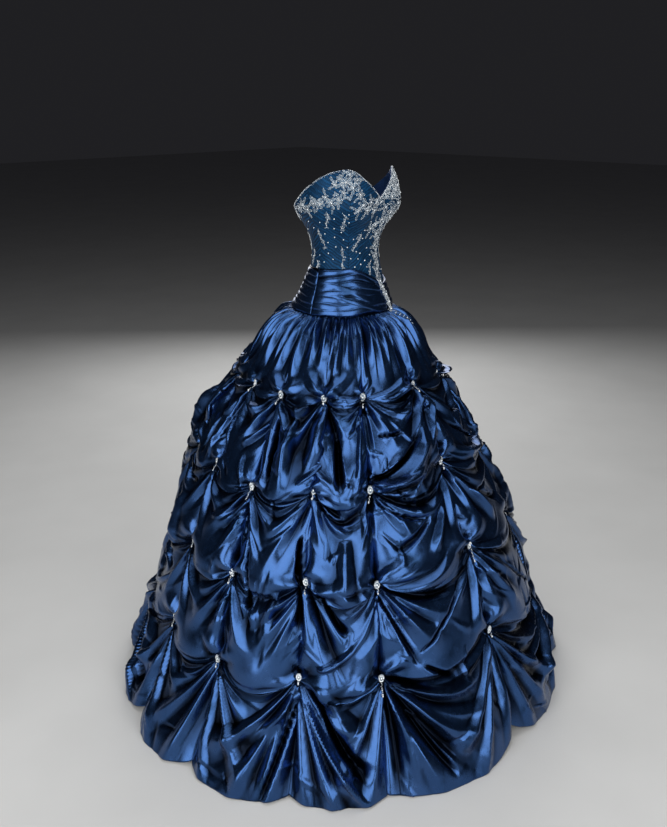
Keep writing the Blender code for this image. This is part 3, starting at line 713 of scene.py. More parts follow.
# How far from a pick-up the cloth is drawn flat, and how much.
PINCH_REACH = 0.015
PINCHED = 0.92
# Gathers under the band: lengths, half widths and heights of the main ones, and of those between them.
GATHER_ROW = 3
GATHERS = ((0.15, 0.24), (0.016, 0.024), (0.013, 0.020))
SMALL_GATHERS = ((0.06, 0.14), (0.010,), (0.005, 0.009))
# How much of the valley between two puffs is left midway between columns, row by row from the front
# round to the wearer's left, for each of the 14 puffs.
VALLEY_KEEP = (
    (0.55, 0.5, 0.7, 0.4, 0.6, 0.5, 0.7, 0.4, 0.6, 0.5, 0.6, 0.7, 0.5, 0.45),
    (0.35, 0.9, 0.6, 0.8, 0.5, 0.9, 0.6, 0.9, 0.5, 0.8, 0.7, 1.0, 1.2, 0.25),
    (0.50, 0.6, 0.9, 0.5, 0.8, 0.6, 0.9, 0.6, 0.8, 0.5, 0.7, 0.9, 0.5, 0.30),
    (0.40, 0.8, 0.5, 0.9, 0.6, 0.8, 0.5, 0.8, 0.6, 0.9, 0.8, 0.6, 0.7, 0.30),
)
# Rows of the hem's edge, turned in and up under the gown.
HEM_TURN = ((0.004, 0.0), (0.012, 0.003), (0.020, 0.012))
# Short creases between the folds: how many, how long, half width and height.
CRUSH_COUNT = 420
CRUSH_LENGTH = (0.05, 0.16)
CRUSH_HALF_WIDTH = (0.008, 0.020)
CRUSH_HEIGHT = (0.0020, 0.0050)
# Painted shade in the gaps between folds: over how many steps, how deep they start to be painted darker, and
# how much deeper till darkest.
PAINTED_GAP_SHADE = ((5, 0.0010, 0.0070), (13, 0.0035, 0.0110))
# Painted shade under each row of pick-ups, and under the band: how dark, and over what share of the tier.
PAINTED_SHADE_UNDER_ROW = (0.75, 0.07)
PAINTED_SHADE_UNDER_BAND = (0.60, 0.05)


def crushed(creases, rng):
    """Short, straight creases scattered all over, as crushed taffeta keeps them."""
    rows = creases.height.shape[0]
    for _ in range(CRUSH_COUNT):
        row = int(rng.uniform(0.16, 0.98) * rows)
        turn = rng.uniform(0, 360)
        angle = rng.choice((-90, -55, -125, -20, 200)) + rng.uniform(-18, 18)
        creases.fold(turn, row, angle, rng.uniform(*CRUSH_LENGTH), rng.uniform(*CRUSH_HALF_WIDTH),
                     rng.choice((-1, 1)) * rng.uniform(*CRUSH_HEIGHT), bow=rng.uniform(-0.12, 0.12),
                     narrow=0.003, rise=0.35)


def crease_skirt(creases, rng):
    """All the skirt's folds: gathers under the band, and fans of long and short folds at every pick-up."""
    tops = np.concatenate([[0], np.cumsum(TIER_STEPS)])
    for n, (turn, gathers, *_) in enumerate(COLUMNS):
        after = COLUMNS[n + 1][0] if n + 1 < len(COLUMNS) else 360.0
        for g in range(gathers):
            for part in (0.0, 0.5):
                at = turn + (after - turn) * (g + part + rng.uniform(-0.16, 0.16)) / gathers
                lengths, half_widths, heights = SMALL_GATHERS if part else GATHERS
                length = rng.uniform(*lengths)
                creases.fold(at, GATHER_ROW, -90 + rng.uniform(-6, 6), length,
                             half_widths[0] if part else rng.uniform(*half_widths), rng.uniform(*heights),
                             bow=rng.uniform(-0.05, 0.05), narrow=0.003 if part else 0.005, rise=0.25)
    for n, (turn, *_) in enumerate(COLUMNS):
        for k in range(len(PICKUP_ROWS)):
            row = int(tops[k + 1])
            if turn in FAN_COLUMNS:
                fan, mirrored, loose = FANS[k][FAN_COLUMNS.index(turn)], False, 1.0
            else:
                fan, mirrored, loose = FANS[k][(n * 3 + k) % 5], (n + k) % 2 == 0, REPEAT_LOOSER
            for angle, *sizes in fan:
                length, half_width, height = (size / 1000 for size in sizes)
                if mirrored:
                    angle = 180 - angle
                longer, fade = FAN_TO_HEM if k == 3 and length > FAN_HEM_LENGTH else (1.0, 0.35)
                creases.fold(turn, row, angle + rng.uniform(-3, 3) * loose,
                             length * rng.uniform(0.98, 1.15) * longer, half_width * FAN_WIDEN,
                             height * FAN_SCALE * rng.uniform(0.85, 1.15),
                             bow=rng.uniform(-0.07, 0.07), fade=fade)
            start = rng.uniform(0, 360)
            for p in range(SMALL_PLEATS):
                angle = start + 360 * (p + rng.uniform(-0.3, 0.3)) / SMALL_PLEATS
                creases.fold(turn, row, angle, rng.uniform(0.035, 0.075), 0.008, rng.uniform(0.004, 0.009),
                             bow=rng.uniform(-0.15, 0.15), narrow=0.002, rise=0.2)


def long_folds(creases):
    """The long folds of the right front, with similar ones on the left and behind."""
    for t0, h0, t1, h1, half_width, height, bow in LONG_FOLDS:
        for way, shift, taken in LONG_FOLD_COPIES:
            start, end = (way * t0 + shift, -h0 / 1000), (way * t1 + shift, -h1 / 1000)
            if not taken[0] < start[0] < taken[1]:
                creases.between(start, end, half_width / 1000, height / 1000, bow * way)


def build_skirt():
    turn, rows, marks = skirt_layout()
    base = np.array([skirt_base(turn, tier, share) for tier, share in rows])
    creases = Creases(base, turn)
    rng = np.random.default_rng(7)
    crease_skirt(creases, rng)
    long_folds(creases)
    crushed(creases, rng)
    for row in np.cumsum(TIER_STEPS)[:-1]:
        for column_turn, *_ in COLUMNS:
            creases.pinch(column_turn, int(row), PINCH_REACH)
    out = normals_of(base[::-1], closed=True)[::-1]
    cloth = base + out * creases.height[..., None]
    cloth[..., 2] = np.maximum(cloth[..., 2], FLOOR + 0.0005)
    # Painted shade: darker where the cloth lies below its evened-out creases, in the gaps between folds.
    painted_shade = np.max([np.clip((blurred(creases.height, steps) - creases.height - start) / deeper, 0, 1)
                     for steps, start, deeper in PAINTED_GAP_SHADE], axis=0)
    # Painted shade at the top of each tier, under the row of pick-ups or the band above it.
    under = []
    for tier, share in rows:
        dark, reach = PAINTED_SHADE_UNDER_ROW if tier else PAINTED_SHADE_UNDER_BAND
        under.append(dark * math.exp(-(share / reach) ** 2))
    painted_shade = np.maximum(painted_shade, np.array(under)[:, None])
    edge = cloth[-1]
    inward = -edge * (1.0, 1.0, 0.0) / np.hypot(edge[:, 0], edge[:, 1])[:, None]
    turned = [edge + inward * x + np.array([0.0, 0.0, z]) for x, z in HEM_TURN]
    cloth = np.concatenate([cloth, turned])
    # The turned-in hem gets the darkest painted shade.
    painted_shade = np.concatenate([painted_shade, np.ones((len(HEM_TURN), len(turn)))])
    made = []
    for name, first, last in SKIRT_GORES:
        a, b = marks[first % 360], marks[last % 360]
        b = b if b > a else b + len(turn)
        columns = np.arange(a, b + 1) % len(turn)
        made.append(cloth_piece(name, cloth[:, columns][::-1], painted_shade[:, columns][::-1], TAFFETA))
    return made, cloth, marks, turn


# Band

# Lines of the ruched folds: where they are in the band's height, in hundredths, at these turns.
BAND_FRONT_TURNS = (-90, -70, -46, -20, 0, 22)
BAND_FRONT_LINES = (
    (6, 6, 6, 10, 13, 15), (18, 18, 19, 22, 27, 30), (30, 33, 32, 34, 41, 46), (42, 47, 50, 48, 54, 60),
    (55, 60, 65, 65, 68, 73), (69, 74, 79, 82, 82, 86), (86, 90, 93, 94, 95, 97),
    (52, 46, 33, 19, 9, 4), (68, 64, 52, 37, 22, 12),
)
BAND_LEFT_TURNS = (22, 45, 68, 90)
BAND_LEFT_LINES = (
    (12, 8, 6, 5), (24, 20, 17, 16), (38, 33, 30, 27), (50, 46, 42, 38), (60, 60, 55, 48),
    (70, 72, 67, 59), (80, 83, 79, 71), (92, 94, 92, 86), (30, 42, 52, 52),
)
BAND_BACK_TURNS = (90, 120, 150, 180, 210, 240, 270)
BAND_BACK_LINES = (
    (5, 7, 6, 8, 7, 6, 5), (16, 18, 20, 19, 21, 18, 15), (27, 30, 32, 35, 32, 29, 25),
    (38, 41, 44, 46, 46, 42, 36), (48, 54, 57, 58, 56, 52, 46), (59, 65, 68, 68, 69, 64, 56),
    (71, 76, 79, 80, 79, 75, 68), (86, 89, 91, 92, 91, 88, 84), (30, 38, 50, 56, 60, 66, 70),
    (62, 58, 48, 40, 34, 30, 28),
)
BAND_LINES = ((BAND_FRONT_TURNS, BAND_FRONT_LINES), (BAND_LEFT_TURNS, BAND_LEFT_LINES),
              (BAND_BACK_TURNS, BAND_BACK_LINES))
# Rows of the fine cloth, and the share of its height in the narrow row along each edge.
BAND_ROWS = 92
BAND_EDGE = 0.004


def ruched(turn, share, size, turns, lines, rng):
    """Height of a band piece's folds: each is a ridge along its own line, steeper below than above."""
    height = np.full(np.broadcast(turn, share).shape, 0.0004)
    for line in lines:
        start, waves = rng.uniform(0, 6.28), rng.uniform(2.5, 5.0)
        centre = smooth(turn, list(zip(turns, np.array(line) / 100)))
        centre = centre + 0.010 * np.sin(np.radians(turn) * waves * 2 + start)
        swell = 0.5 + 0.5 * np.sin(np.radians(turn) * waves + 2.3 * start)
        tall = FOLD_HEIGHT * (0.55 + 0.45 * swell)
        half = rng.uniform(0.0070, 0.0095) * (0.8 + 0.4 * swell)
        off = (share - centre) * size / half
        off = np.where(off < 0, off * 1.5, off * 0.75)
        height = np.maximum(height, tall * np.clip(1 - np.abs(off) ** 2.6, 0, 1) ** 0.75)
    return height


def panel_turns(pieces):
    """Turns of each panel's columns, with a narrow strip along both seams."""
    turns = []
    for _, a, b, n in pieces:
        turns.append(np.concatenate([[a], np.linspace(a + 0.5, b - 0.5, n - 1), [b]]))
    return turns


def build_band():
    share = np.concatenate([[0.0], np.linspace(BAND_EDGE, 1 - BAND_EDGE, BAND_ROWS), [1.0]])[:, None]
    rng = np.random.default_rng(21)
    made = []
    columns = panel_turns(BAND_PIECES)
    for (name, first, last, _), turn, (turns, lines) in zip(BAND_PIECES, columns, BAND_LINES):
        size = band_top(turn) - BAND_BOTTOM
        height = BAND_BOTTOM + size * share
        everywhere = np.broadcast_to(turn, height.shape)
        plain = body_points(everywhere, height, LAP_GAP + BAND_WALL - 0.0004)
        folds = ruched(everywhere, share, size, turns, lines, rng)
        edge = np.clip(np.minimum(share, 1 - share) / 0.02, 0, 1) ** 0.5
        at_seam = np.minimum(np.abs(everywhere - first), np.abs(everywhere - last))
        folds = folds * edge * (0.55 + 0.45 * np.clip(at_seam / 4.0, 0, 1))
        folds[:, 0] -= 0.0010
        folds[:, -1] -= 0.0010
        folds[0] = folds[-1] = -0.0014
        outer = plain + normals_of(plain, closed=False) * folds[..., None]
        # Painted shade, darker where the ruched folds are low, in the gaps between them.
        painted_shade = np.clip(1 - folds / (0.42 * FOLD_HEIGHT), 0, 1) * 0.9
        made.append(cloth_piece(name, outer, painted_shade, TAFFETA))
    return made


# Bodice

# Gathers of the net: from one to the next, height, how fast they rise from their seam; rows of the cloth.
GATHER_PITCH = 0.0080
GATHER_HEIGHT = 0.0015
GATHER_RISE = 0.55
BODICE_ROWS = 180
LINING_ROWS = 16


def gathers(turn, height):
    """Fine gathers of the net, which rise away from the princess and back seams on both sides."""
    turn = around(turn)
    seam = np.where(np.abs(turn) < SIDE_TURN, PRINCESS_TURN, BACK_SEAM_TURN)
    away = np.radians(np.abs(np.abs(turn) - seam)) * 0.115
    drift = 0.0016 * np.sin(np.radians(turn) * 7 + 60 * height)
    drift = drift + 0.0012 * np.sin(np.radians(turn) * 17 - 95 * height + 1)
    line = (height - GATHER_RISE * away + drift) / GATHER_PITCH
    wave = (0.5 + 0.5 * np.cos(2 * np.pi * line)) ** 1.4
    uneven = 0.65 + 0.35 * np.sin(3.1 * np.floor(line + 0.5) + np.radians(turn) * 5)
    return GATHER_HEIGHT * wave * uneven


def build_bodice():
    share = np.linspace(0, 1, BODICE_ROWS)[:, None]
    made = []
    for (name, *_), turn in zip(BODICE_PANELS, panel_turns(BODICE_PANELS)):
        low = band_top(turn) - LAP
        top = neckline(turn)
        height = low + (top - low) * share
        turns = np.broadcast_to(turn, height.shape)
        out = gathers(turns, height) - 0.0002
        out[:, 0] = out[:, -1] = -0.0006
        outer = body_points(turns, height, out)
        # Painted shade in the gaps between the net's gathers, darker where the gathers are low.
        painted_shade = np.clip(1 - (out + 0.0002) / (0.55 * GATHER_HEIGHT), 0, 1)
        piece, _ = cloth_piece(name, outer, painted_shade, NET)
        inside = np.linspace(1, 0, LINING_ROWS)[:, None]
        height = low + (top - low) * inside
        turns = np.broadcast_to(turn, height.shape)
        inner = body_points(turns, height, -BODICE_WALL)
        inner = np.concatenate([outer[-1:], inner])
        lining = mesh_of(name + "_lining", inner, grid_faces(*inner.shape[:2]), LINING)
        dressed(lining)
        made.append((piece, outer, lining))
    return made


# Beads and stones

# A bead is a faceted ball of 20 faces.
GOLDEN = (1 + 5 ** 0.5) / 2
ROUND = np.array([(-1, GOLDEN, 0), (1, GOLDEN, 0), (-1, -GOLDEN, 0), (1, -GOLDEN, 0), (0, -1, GOLDEN),
                  (0, 1, GOLDEN), (0, -1, -GOLDEN), (0, 1, -GOLDEN), (GOLDEN, 0, -1), (GOLDEN, 0, 1),
                  (-GOLDEN, 0, -1), (-GOLDEN, 0, 1)])
ROUND /= np.linalg.norm(ROUND[0])
ROUND_FACES = np.array([(0, 11, 5), (0, 5, 1), (0, 1, 7), (0, 7, 10), (0, 10, 11), (1, 5, 9), (5, 11, 4),
                        (11, 10, 2), (10, 7, 6), (7, 1, 8), (3, 9, 4), (3, 4, 2), (3, 2, 6), (3, 6, 8),
                        (3, 8, 9), (4, 9, 5), (2, 4, 11), (6, 2, 10), (8, 6, 7), (9, 8, 1)])
# Radii of the smallest beads and of the single stones.
SEED = 0.0010
STONE = 0.0019


class Scattered:
    """Beads, stones and small raised patches, gathered up and then joined into one mesh a kind."""

    def __init__(self, rng):
        self.rng = rng
        self.kinds = {}

    def keep(self, kind, points, faces):
        held = self.kinds.setdefault(kind, ([], [], [0]))
        held[0].append(points)
        held[1].append(faces + held[2][0])
        held[2][0] += len(points)

    def beads(self, kind, centres, radius, stretch=(1.0, 1.0, 1.0)):
        """Faceted beads of one size or many, turned at random unless they are drawn out."""
        centres = np.asarray(centres, float).reshape(-1, 3)
        radius = np.broadcast_to(radius, len(centres))
        shape = np.broadcast_to(ROUND, (len(centres), 12, 3))
        if stretch == (1.0, 1.0, 1.0):
            q, _ = np.linalg.qr(self.rng.normal(size=(len(centres), 3, 3)))
            q[np.linalg.det(q) < 0] *= -1
            shape = np.einsum("nvj,njk->nvk", shape, q)
        points = centres[:, None] + shape * np.array(stretch) * radius[:, None, None]
        faces = ROUND_FACES[None] + 12 * np.arange(len(centres))[:, None, None]
        self.keep(kind, points.reshape(-1, 3), faces.reshape(-1, 3))

    def patch(self, kind, rim, middle):
        """A small raised leaf or petal: a closed rim and its higher middle."""
        n = len(rim)
        k = np.arange(n)
        self.keep(kind, np.concatenate([rim, [middle]]), np.stack([k, (k + 1) % n, np.full(n, n)], axis=1))

    def finish(self, name):
        """The joined meshes, one for each kind."""
        return [mesh_of(f"{name}_{kind}", np.concatenate(points), np.concatenate(faces), KINDS[kind], False)
                for kind, (points, faces, _) in self.kinds.items()]


KINDS = {"beads": BEADS, "stones": STONES, "thread": THREAD}


def local(turn, height, u, v):
    """Turn and height of a place u metres towards the wearer's left and v up from another."""
    radius = ring_radius(turn, height, BODY_RINGS) + cups(turn, height)
    return turn + np.degrees(np.asarray(u) / radius), height + np.asarray(v)


def laid(turn, height, out):
    """Points lying on the bodice, kept below the neckline."""
    return body_points(turn, np.minimum(height, neckline(turn) - 0.0012), out)


def loop(length, width, steps, pointed):
    """A leaf's or petal's outline, from its base along its own middle."""
    t = np.arange(steps) / steps
    along = length * (0.5 - 0.5 * np.cos(2 * np.pi * t))
    across = width * np.sin(2 * np.pi * t) * (np.abs(np.sin(np.pi * t)) ** 0.5 if not pointed else 1.0)
    return along, across


def petal(scattered, turn, height, angle, start, length, width, pointed, lift, seed=SEED):
    """One beaded petal or leaf that runs off from a place at an angle."""
    steps = int(max(7, round(2.25 * length / (2.4 * seed))))
    along, across = loop(length, width, steps, pointed)
    c, s = math.cos(angle), math.sin(angle)
    u, v = (start + along) * c - across * s, (start + along) * s + across * c
    rim_turn, rim_height = local(turn, height, u, v)
    shown = scattered.rng.uniform(0, 1, steps) < 0.80
    scattered.beads("beads", laid(rim_turn, rim_height, lift + 0.5 * seed)[shown],
                    seed * scattered.rng.uniform(0.65, 1.35, steps)[shown])
    keep = np.arange(0, steps, 1 if steps < 11 else 2)
    mid = start + 0.55 * length
    mid_turn, mid_height = local(turn, height, mid * c, mid * s)
    scattered.patch("thread", laid(rim_turn[keep], rim_height[keep], lift - 0.0004),
                    laid(mid_turn, mid_height, lift + 0.0008).reshape(3))
    return mid_turn, mid_height


def flower(scattered, turn, height, size, petals, spin, lift=0.0012):
    """Beaded petals about a stone."""
    for p in range(petals):
        angle = spin + 2 * math.pi * p / petals
        petal(scattered, turn, height, angle, 0.24 * size, 0.76 * size, 0.27 * size, False, lift)
    scattered.beads("stones", laid(turn, height, lift + 0.0012).reshape(1, 3), 0.17 * size)


def string(scattered, turns, heights, out, radius, kind="beads", pitch=2.15, kept=1.0):
    """Beads threaded along a smooth line on the body, some of them left out."""
    points = body_points(np.asarray(turns, float), np.asarray(heights, float), out)
    points = np.concatenate([[points[0]], points, [points[-1]]])
    fine = []
    for a, b, c, d in zip(points[:-3], points[1:-2], points[2:-1], points[3:]):
        for t in np.linspace(0, 1, 12, endpoint=False):
            bent = (2 * a - 5 * b + 4 * c - d) * t * t + (3 * b - a - 3 * c + d) * t ** 3
            fine.append(0.5 * (2 * b + (c - a) * t + bent))
    fine = np.array(fine + [points[-1]])
    run = np.concatenate([[0], np.cumsum(np.linalg.norm(np.diff(fine, axis=0), axis=1))])
    at = np.arange(0, run[-1], pitch * radius)
    at = at[scattered.rng.uniform(0, 1, len(at)) < kept]
    centres = np.stack([np.interp(at, run, fine[:, k]) for k in range(3)], axis=1)
    scattered.beads(kind, centres, radius * scattered.rng.uniform(0.75, 1.2, len(centres)))


# Flowers of the lace: turn, then height and radius in millimetres.
FLOWERS = (
    (-104, 112, 11), (-97, 121, 9), (-90, 112, 12), (-82, 127, 10), (-75, 126, 12), (-69, 142, 8),
    (-63, 128, 14), (-56, 137, 10), (-51, 152, 11), (-48, 176, 13), (-41, 163, 14), (-36, 180, 10),
    (-33, 148, 11), (-44, 192, 8), (-55, 184, 9), (-60, 170, 8), (-30, 124, 13), (-24, 110, 10),
    (-36, 110, 10), (-19, 128, 9), (-12, 108, 9), (-8, 128, 8), (1, 126, 10), (8, 143, 13),
    (14, 154, 10), (9, 112, 10), (19, 136, 13), (22, 163, 11), (28, 178, 10), (27, 150, 13),
    (34, 160, 13), (37, 184, 10), (41, 141, 13), (31, 120, 12), (22, 98, 12), (45, 168, 12),
    (49, 186, 10), (51, 150, 12), (57, 168, 11), (38, 103, 12), (29, 84, 12), (20, 74, 11),
    (36, 78, 10), (-6, 62, 11), (3, 70, 9), (12, 82, 10), (24, 54, 11), (15, 46, 10), (29, 34, 10),
    (21, 18, 10), (30, 4, 10), (23, -12, 10), (31, -28, 9), (25, -44, 9), (20, -60, 8), (62, 152, 11),
    (69, 138, 11), (76, 130, 12), (84, 141, 9), (91, 118, 12), (100, 112, 10), (108, 102, 11),
    (118, 96, 10), (130, 84, 9), (140, 74, 11), (151, 72, 8), (162, 66, 9), (198, 66, 9), (209, 72, 8),
    (220, 74, 11), (230, 84, 9), (242, 96, 10),
)
# Sprays of small leaves on a stem: from one turn and height in millimetres to another.
SPRAYS = (
    (-86, 64, -83, 19), (-52, 106, -51, 62), (-56, 22, -52, -30), (-23, 53, -33, 12),
    (-98, -16, -94, -34), (9, -18, -2, -50), (-69, 108, -71, 70), (96, 62, 93, 20), (60, 30, 56, -22),
    (74, 85, 71, 45), (120, 52, 116, 10), (150, 46, 147, 6), (237, 50, 241, 8), (214, 42, 210, 0),
    (199, 40, 197, 6), (106, 0, 102, -30), (254, 12, 250, -26), (52, 70, 56, 34),
)
# Single stones: turn and height.
LONE_STONES = (
    (-79.4, .0812), (-61.7, .0909), (-64.9, .0445), (-55, .0567), (-45.3, .1021), (-44.8, .0818),
    (-63.9, .0666), (-77.8, .0524), (-96.3, .0808), (-93.1, .065), (-75.5, .0309), (-76.1, .004),
    (-92, -.0025), (-68.9, -.0099), (-82.8, -.0178), (-64.4, .0207), (-46.1, .0189), (-40, -.0096),
    (-25.4, -.0111), (-29.1, .0065), (-20.8, .0021), (-20, -.0252), (-32.6, -.0300), (-9.4, -.017),
    (-5.9, -.0333), (-4.5, .0134), (-18.2, .0386), (-17.6, .0589), (-36.1, .0384), (-52.3, .0381),
    (5.9, -.0054),
)


def spray(scattered, t0, h0, t1, h1):
    """A winding stem of beads with small leaves on either side, no two alike."""
    rng = scattered.rng
    share = np.linspace(0, 1, 9)
    turns = t0 + (t1 - t0) * share + rng.choice((-1, 1)) * rng.uniform(1.5, 3.0) * np.sin(1.6 * np.pi * share)
    heights = h0 + (h1 - h0) * share
    string(scattered, turns, heights, 0.0016, 0.0007)
    for k in range(1, 9):
        for side in (-1, 1):
            if rng.uniform() < 0.72:
                angle = math.atan2(h1 - h0, 0.004 * (t1 - t0)) + side * rng.uniform(0.5, 1.1)
                petal(scattered, turns[k], heights[k], angle, 0.0004, rng.uniform(0.0035, 0.0085),
                      rng.uniform(0.0011, 0.0022), True, 0.0010, 0.0006)
    scattered.beads("stones", body_points(turns[1::3], heights[1::3], 0.0018), 0.0014)


def build_lace():
    """Beaded lace on the bodice: flowers, leaves, sprays, single stones, and beads round the top."""
    rng = np.random.default_rng(5)
    lace = Scattered(rng)
    for turn, height, size in FLOWERS:
        size = size / 1000
        height = min(height / 1000, float(neckline(turn)) - 0.35 * size)
        petals = int(rng.integers(5, 7))
        spin = rng.uniform(0, 6.28)
        flower(lace, turn, height, size, petals, spin)
        for k in range(3):
            angle = spin + 0.5 + 2.1 * k + rng.uniform(-0.5, 0.5)
            length = rng.uniform(0.009, 0.014)
            petal(lace, turn, height, angle, 1.05 * size, length, 0.0026, True, 0.0010, 0.0008)
    for t0, h0, t1, h1 in SPRAYS:
        spray(lace, t0, h0 / 1000, t1, h1 / 1000)
    stones = list(LONE_STONES)
    for turn in np.arange(46, 252, 6.0):
        if abs(turn - 180) > 3:
            low, high = band_top(turn) + 0.012, neckline(turn) - 0.045
            stones.append((turn + rng.uniform(-2, 2), float(low + (high - low) * rng.uniform(0, 1))))
    stones = np.array(stones)
    lace.beads("stones", body_points(*stones.T, 0.0016), STONE * rng.uniform(0.85, 1.1, len(stones)))
    turns = np.linspace(-179.2, 179.2, 200)
    string(lace, turns, neckline(turns) - 0.0008, 0.0008, 0.0012, pitch=2.9, kept=0.85)
    string(lace, turns, neckline(turns) - 0.0036, 0.0012, 0.0007, pitch=3.2, kept=0.7)
    return lace.finish("lace")


def build_strip(cloth, turn_of):
    """The beaded strip over the band's join, which trails out on the top of the skirt."""
    rng = np.random.default_rng(9)
    strip = Scattered(rng)
    lift = LAP_GAP + BAND_WALL + FOLD_HEIGHT + 0.0006
    for turn, height, width in STRIP_PATH:
        flower(strip, turn, height, 0.62 * width + 0.003, 5, rng.uniform(0, 6), lift)
    path = np.array(STRIP_PATH)
    at = np.linspace(path[0, 1], path[-1, 1], 34)
    middle = smooth(at, [(h, t) for t, h, _ in STRIP_PATH])
    wide = smooth(at, [(h, w) for _, h, w in STRIP_PATH])
    for turn, height, width in zip(middle, at, wide):
        n = int(width / 0.0021)
        across = np.linspace(-0.42, 0.42, n) * width + rng.uniform(-0.0004, 0.0004, n)
        turns, heights = local(turn, height, across, rng.uniform(-0.0008, 0.0008, n))
        shown = rng.uniform(0, 1, n) < 0.62
        strip.beads("beads", body_points(turns, heights, lift + 0.0004)[shown],
                    SEED * rng.uniform(0.7, 1.4, n)[shown])
    for edge in (-0.5, 0.5):
        turns, heights = local(middle, at, edge * wide, 0.0)
        string(strip, turns, heights, lift, 0.0011, pitch=2.6, kept=0.8)
    strip.beads("stones", body_points(path[:, 0], path[:, 1], lift + 0.0030), 0.0024)
    for k, row in enumerate(range(3, 24, 2)):
        column = int(np.argmin(np.abs(turn_of - (28.0 + 0.55 * k))))
        for j in range(3 if k < 6 else 2):
            point = cloth[row, column + 2 * j - 2]
            strip.beads("beads" if j else "stones", point * np.array([1.012, 1.012, 1.0]),
                        rng.uniform(0.0011, 0.0018))
    return strip.finish("strip")


# Brooches

BROOCH_OUT = 0.0050
# Ovals of a brooch: half width, half height, and number of points or beads.
BROOCH_BASE = (0.0062, 0.0095, 16)
STONE_OVAL = (0.0049, 0.0080, 12)
BEAD_OVAL = (0.0068, 0.0106, 20)
# The drop's first bead below the middle, its pitch, its distance off the cloth, and how far it may lie out.
DROP_START, DROP_PITCH, DROP_OFF, DROP_MOST_OUT = 0.0135, 0.0031, 0.0035, 0.016
# Row and turn of the pick-ups with a long drop, and how many beads that has.
LONG_DROPS = ((2, 300), (1, 275), (3, 322), (1, 60), (3, 85), (2, 0))
LONG_DROP = 11


def oval(side, half_width, half_height, count, start=0.0):
    """Points of an upright oval about its middle."""
    ring = np.linspace(start, start + 2 * np.pi, count, endpoint=False)[:, None]
    return half_width * np.cos(ring) * side + half_height * np.sin(ring) * np.array([0.0, 0.0, 1.0])


def build_brooches(cloth, marks):
    """An oval brooch of stones at each pick-up from the front round to the sides, with a hanging drop."""
    rng = np.random.default_rng(3)
    for k, row in enumerate(np.cumsum(TIER_STEPS)[:-1]):
        for turn, *_ in COLUMNS:
            if abs(float(around(turn))) > CLUSTER_TURN_LIMIT:
                continue
            brooch = Scattered(rng)
            column = marks[int(turn)]
            a = math.radians(turn)
            out, side = np.array([math.sin(a), -math.cos(a), 0.0]), np.array([math.cos(a), math.sin(a), 0.0])
            middle = cloth[row, column]
            about = cloth[row - 4:row + 5, np.arange(column - 4, column + 5) % cloth.shape[1]] - middle
            centre = middle + out * (BROOCH_OUT + max(0.0, float(np.quantile(about @ out, 0.8))))
            rim = centre + oval(side, *BROOCH_BASE) - 0.0022 * out
            brooch.patch("thread", rim, centre)
            brooch.patch("thread", rim[::-1], centre - 0.0045 * out)
            brooch.beads("stones", centre, 0.0029, (1.0, 1.0, 1.35))
            brooch.beads("stones", centre + oval(side, *STONE_OVAL),
                         0.0020 * rng.uniform(0.6, 1.3, STONE_OVAL[2]))
            brooch.beads("beads", centre + oval(side, *BEAD_OVAL, 0.13) - 0.0014 * out, 0.0010)
            count = LONG_DROP if (k, int(turn)) in LONG_DROPS else int(rng.integers(4, 7))
            down = np.cumsum(np.linalg.norm(np.diff(cloth[row:row + 40, column], axis=0), axis=-1))
            for j in range(count):
                step = min(int(np.searchsorted(down, DROP_START + DROP_PITCH * j)) + 1, 38)
                behind = cloth[row + step, column]
                near = cloth[row + step, np.arange(column - 3, column + 4) % cloth.shape[1]]
                above = max(0.0, float(((near - behind) @ out).max()))
                at = behind + out * (DROP_OFF + min(above, DROP_MOST_OUT)) + side * 0.0012 * math.sin(2.2 * j)
                if j == count - 1:
                    brooch.beads("stones", at, 0.0022, (1.0, 1.0, 1.9))
                else:
                    brooch.beads("beads" if j % 3 else "stones", at, 0.0015)
            name = f"cluster_{k + 1}_{int(turn):03d}"
            for piece in brooch.finish(name):
                dressed(piece, name)


# Zip pull

# Half the pull's width, height and thickness, and how far its middle is below the neckline.
PULL_HALF = (0.0022, 0.0080, 0.0007)
PULL_DROP = 0.012
# Its outline from back to front: size, and how far out.
PULL_LAYERS = ((0.0, -0.0007), (0.9, -0.0007), (1.0, -0.0004), (1.0, 0.0004), (0.9, 0.0007), (0.55, 0.0004),
               (0.0, 0.0004))


def build_pull():
    """The slim pull of the hidden zip, hanging flat at the top of the centre-back seam."""
    ring = np.linspace(0, 2 * np.pi, 24, endpoint=False)
    x = PULL_HALF[0] * np.sign(np.cos(ring)) * np.abs(np.cos(ring)) ** 0.5 * (0.75 + 0.25 * -np.sin(ring))
    z = PULL_HALF[1] * np.sign(np.sin(ring)) * np.abs(np.sin(ring)) ** 0.7
    height = float(neckline(180.0)) - PULL_DROP
    y = float(body_points(180.0, height)[1]) + 0.0006 + PULL_HALF[2]
    points = np.array([np.stack([x * size, np.full(24, y + out), height + z * size], axis=1)
                       for size, out in PULL_LAYERS])
    pull = mesh_of("zip_pull_metal", points, grid_faces(*points.shape[:2], closed=True), PULL_METAL)
    dressed(pull, "zip_pull")


# Stage

# The camera stands at a turn, a distance from the axis and a height above the waist, and looks down.
CAMERA_TURN = -48.0
CAMERA_DISTANCE = 2.2
CAMERA_HEIGHT = 0.36
CAMERA_PITCH = 20.0
# Focal length, size of the picture and column of the gown's axis in it, in pixels.
FOCAL_PIXELS = 867.0
PICTURE = (667.0, 827.0)
AXIS_COLUMN = 347.0
SENSOR_HEIGHT = 36.0
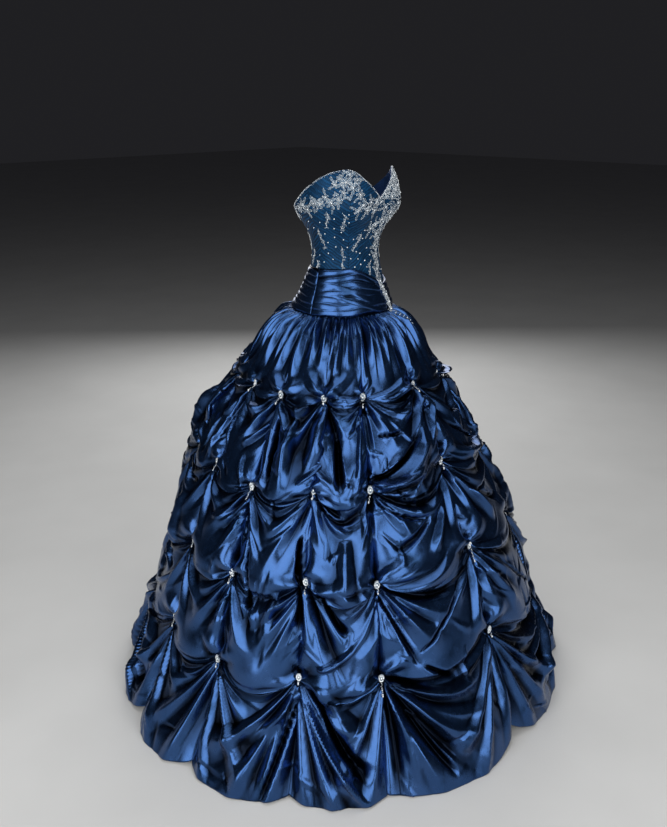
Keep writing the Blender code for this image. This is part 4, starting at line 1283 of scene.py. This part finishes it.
# Lights: name, turn, elevation, distance, size and power. They face this height on the axis.
LIGHTS = (
    ("left", -72, 17, 3.0, (2.2, 2.9), 64),
    ("front", -22, 17, 3.0, (1.8, 2.9), 50),
    ("back", 135, 26, 3.1, (2.4, 2.8), 52),
    ("top", 0, 88, 2.8, (2.6, 2.6), 38),
)
LIGHTS_FACE = -0.4
FLOOR_HALF = 20
DIM_ROOM = (0.014, 0.014, 0.016, 1.0)


def build_camera():
    data = bpy.data.cameras.new("camera")
    camera = bpy.data.objects.new("camera", data)
    bpy.context.scene.collection.objects.link(camera)
    a, e = math.radians(CAMERA_TURN), math.radians(CAMERA_PITCH)
    camera.location = (CAMERA_DISTANCE * math.sin(a), -CAMERA_DISTANCE * math.cos(a), CAMERA_HEIGHT)
    yaw = math.atan((AXIS_COLUMN - PICTURE[0] / 2) / FOCAL_PIXELS * math.cos(e))
    look = Vector((-math.sin(a) * math.cos(e), math.cos(a) * math.cos(e), -math.sin(e)))
    look = Matrix.Rotation(yaw, 3, "Z") @ look
    camera.rotation_euler = look.to_track_quat("-Z", "Y").to_euler()
    data.sensor_fit = "VERTICAL"
    data.sensor_height = SENSOR_HEIGHT
    data.lens = FOCAL_PIXELS / PICTURE[1] * SENSOR_HEIGHT
    bpy.context.scene.camera = camera


def area_light(name, turn, elevation, distance, size, power):
    t, e = math.radians(turn), math.radians(elevation)
    data = bpy.data.lights.new(name, "AREA")
    data.energy = power
    data.shape = "RECTANGLE"
    data.size, data.size_y = size
    light = bpy.data.objects.new(name, data)
    away = distance * math.cos(e)
    light.location = (away * math.sin(t), -away * math.cos(t), distance * math.sin(e) + LIGHTS_FACE)
    look = Vector((0, 0, LIGHTS_FACE)) - light.location
    light.rotation_euler = look.to_track_quat("-Z", "Y").to_euler()
    light.visible_camera = False
    bpy.context.scene.collection.objects.link(light)


def build_stage():
    look = Look("pale_floor", (0.64, 0.64, 0.63), 0.7, 0.0)
    colour = look.ramp(look.noise(3.0, 4.0), (0.3, (0.62, 0.62, 0.61)), (0.7, (0.66, 0.66, 0.65)))
    corners = [(FLOOR_HALF * x, FLOOR_HALF * y, FLOOR - 0.0005)
               for x, y in ((-1, -1), (1, -1), (1, 1), (-1, 1))]
    floor = mesh_of("floor", corners, [(0, 1, 2, 3)], look.finish(colour), False)
    for row in LIGHTS:
        area_light(*row)
    world = bpy.data.worlds.new("soft")
    world.use_nodes = True
    world.node_tree.nodes["Background"].inputs["Color"].default_value = DIM_ROOM
    bpy.context.scene.world = world
    bpy.context.scene.view_settings.view_transform = "Standard"


def main():
    build_stage()
    build_camera()
    skirt, cloth, marks, turn_of = build_skirt()
    band = build_band()
    bodice = build_bodice()
    lace = build_lace()
    strip = build_strip(cloth, turn_of)
    build_brooches(cloth, marks)
    build_pull()
    for piece in lace:
        dressed(piece)
    for piece in strip:
        dressed(piece, "bead_strip")


main()
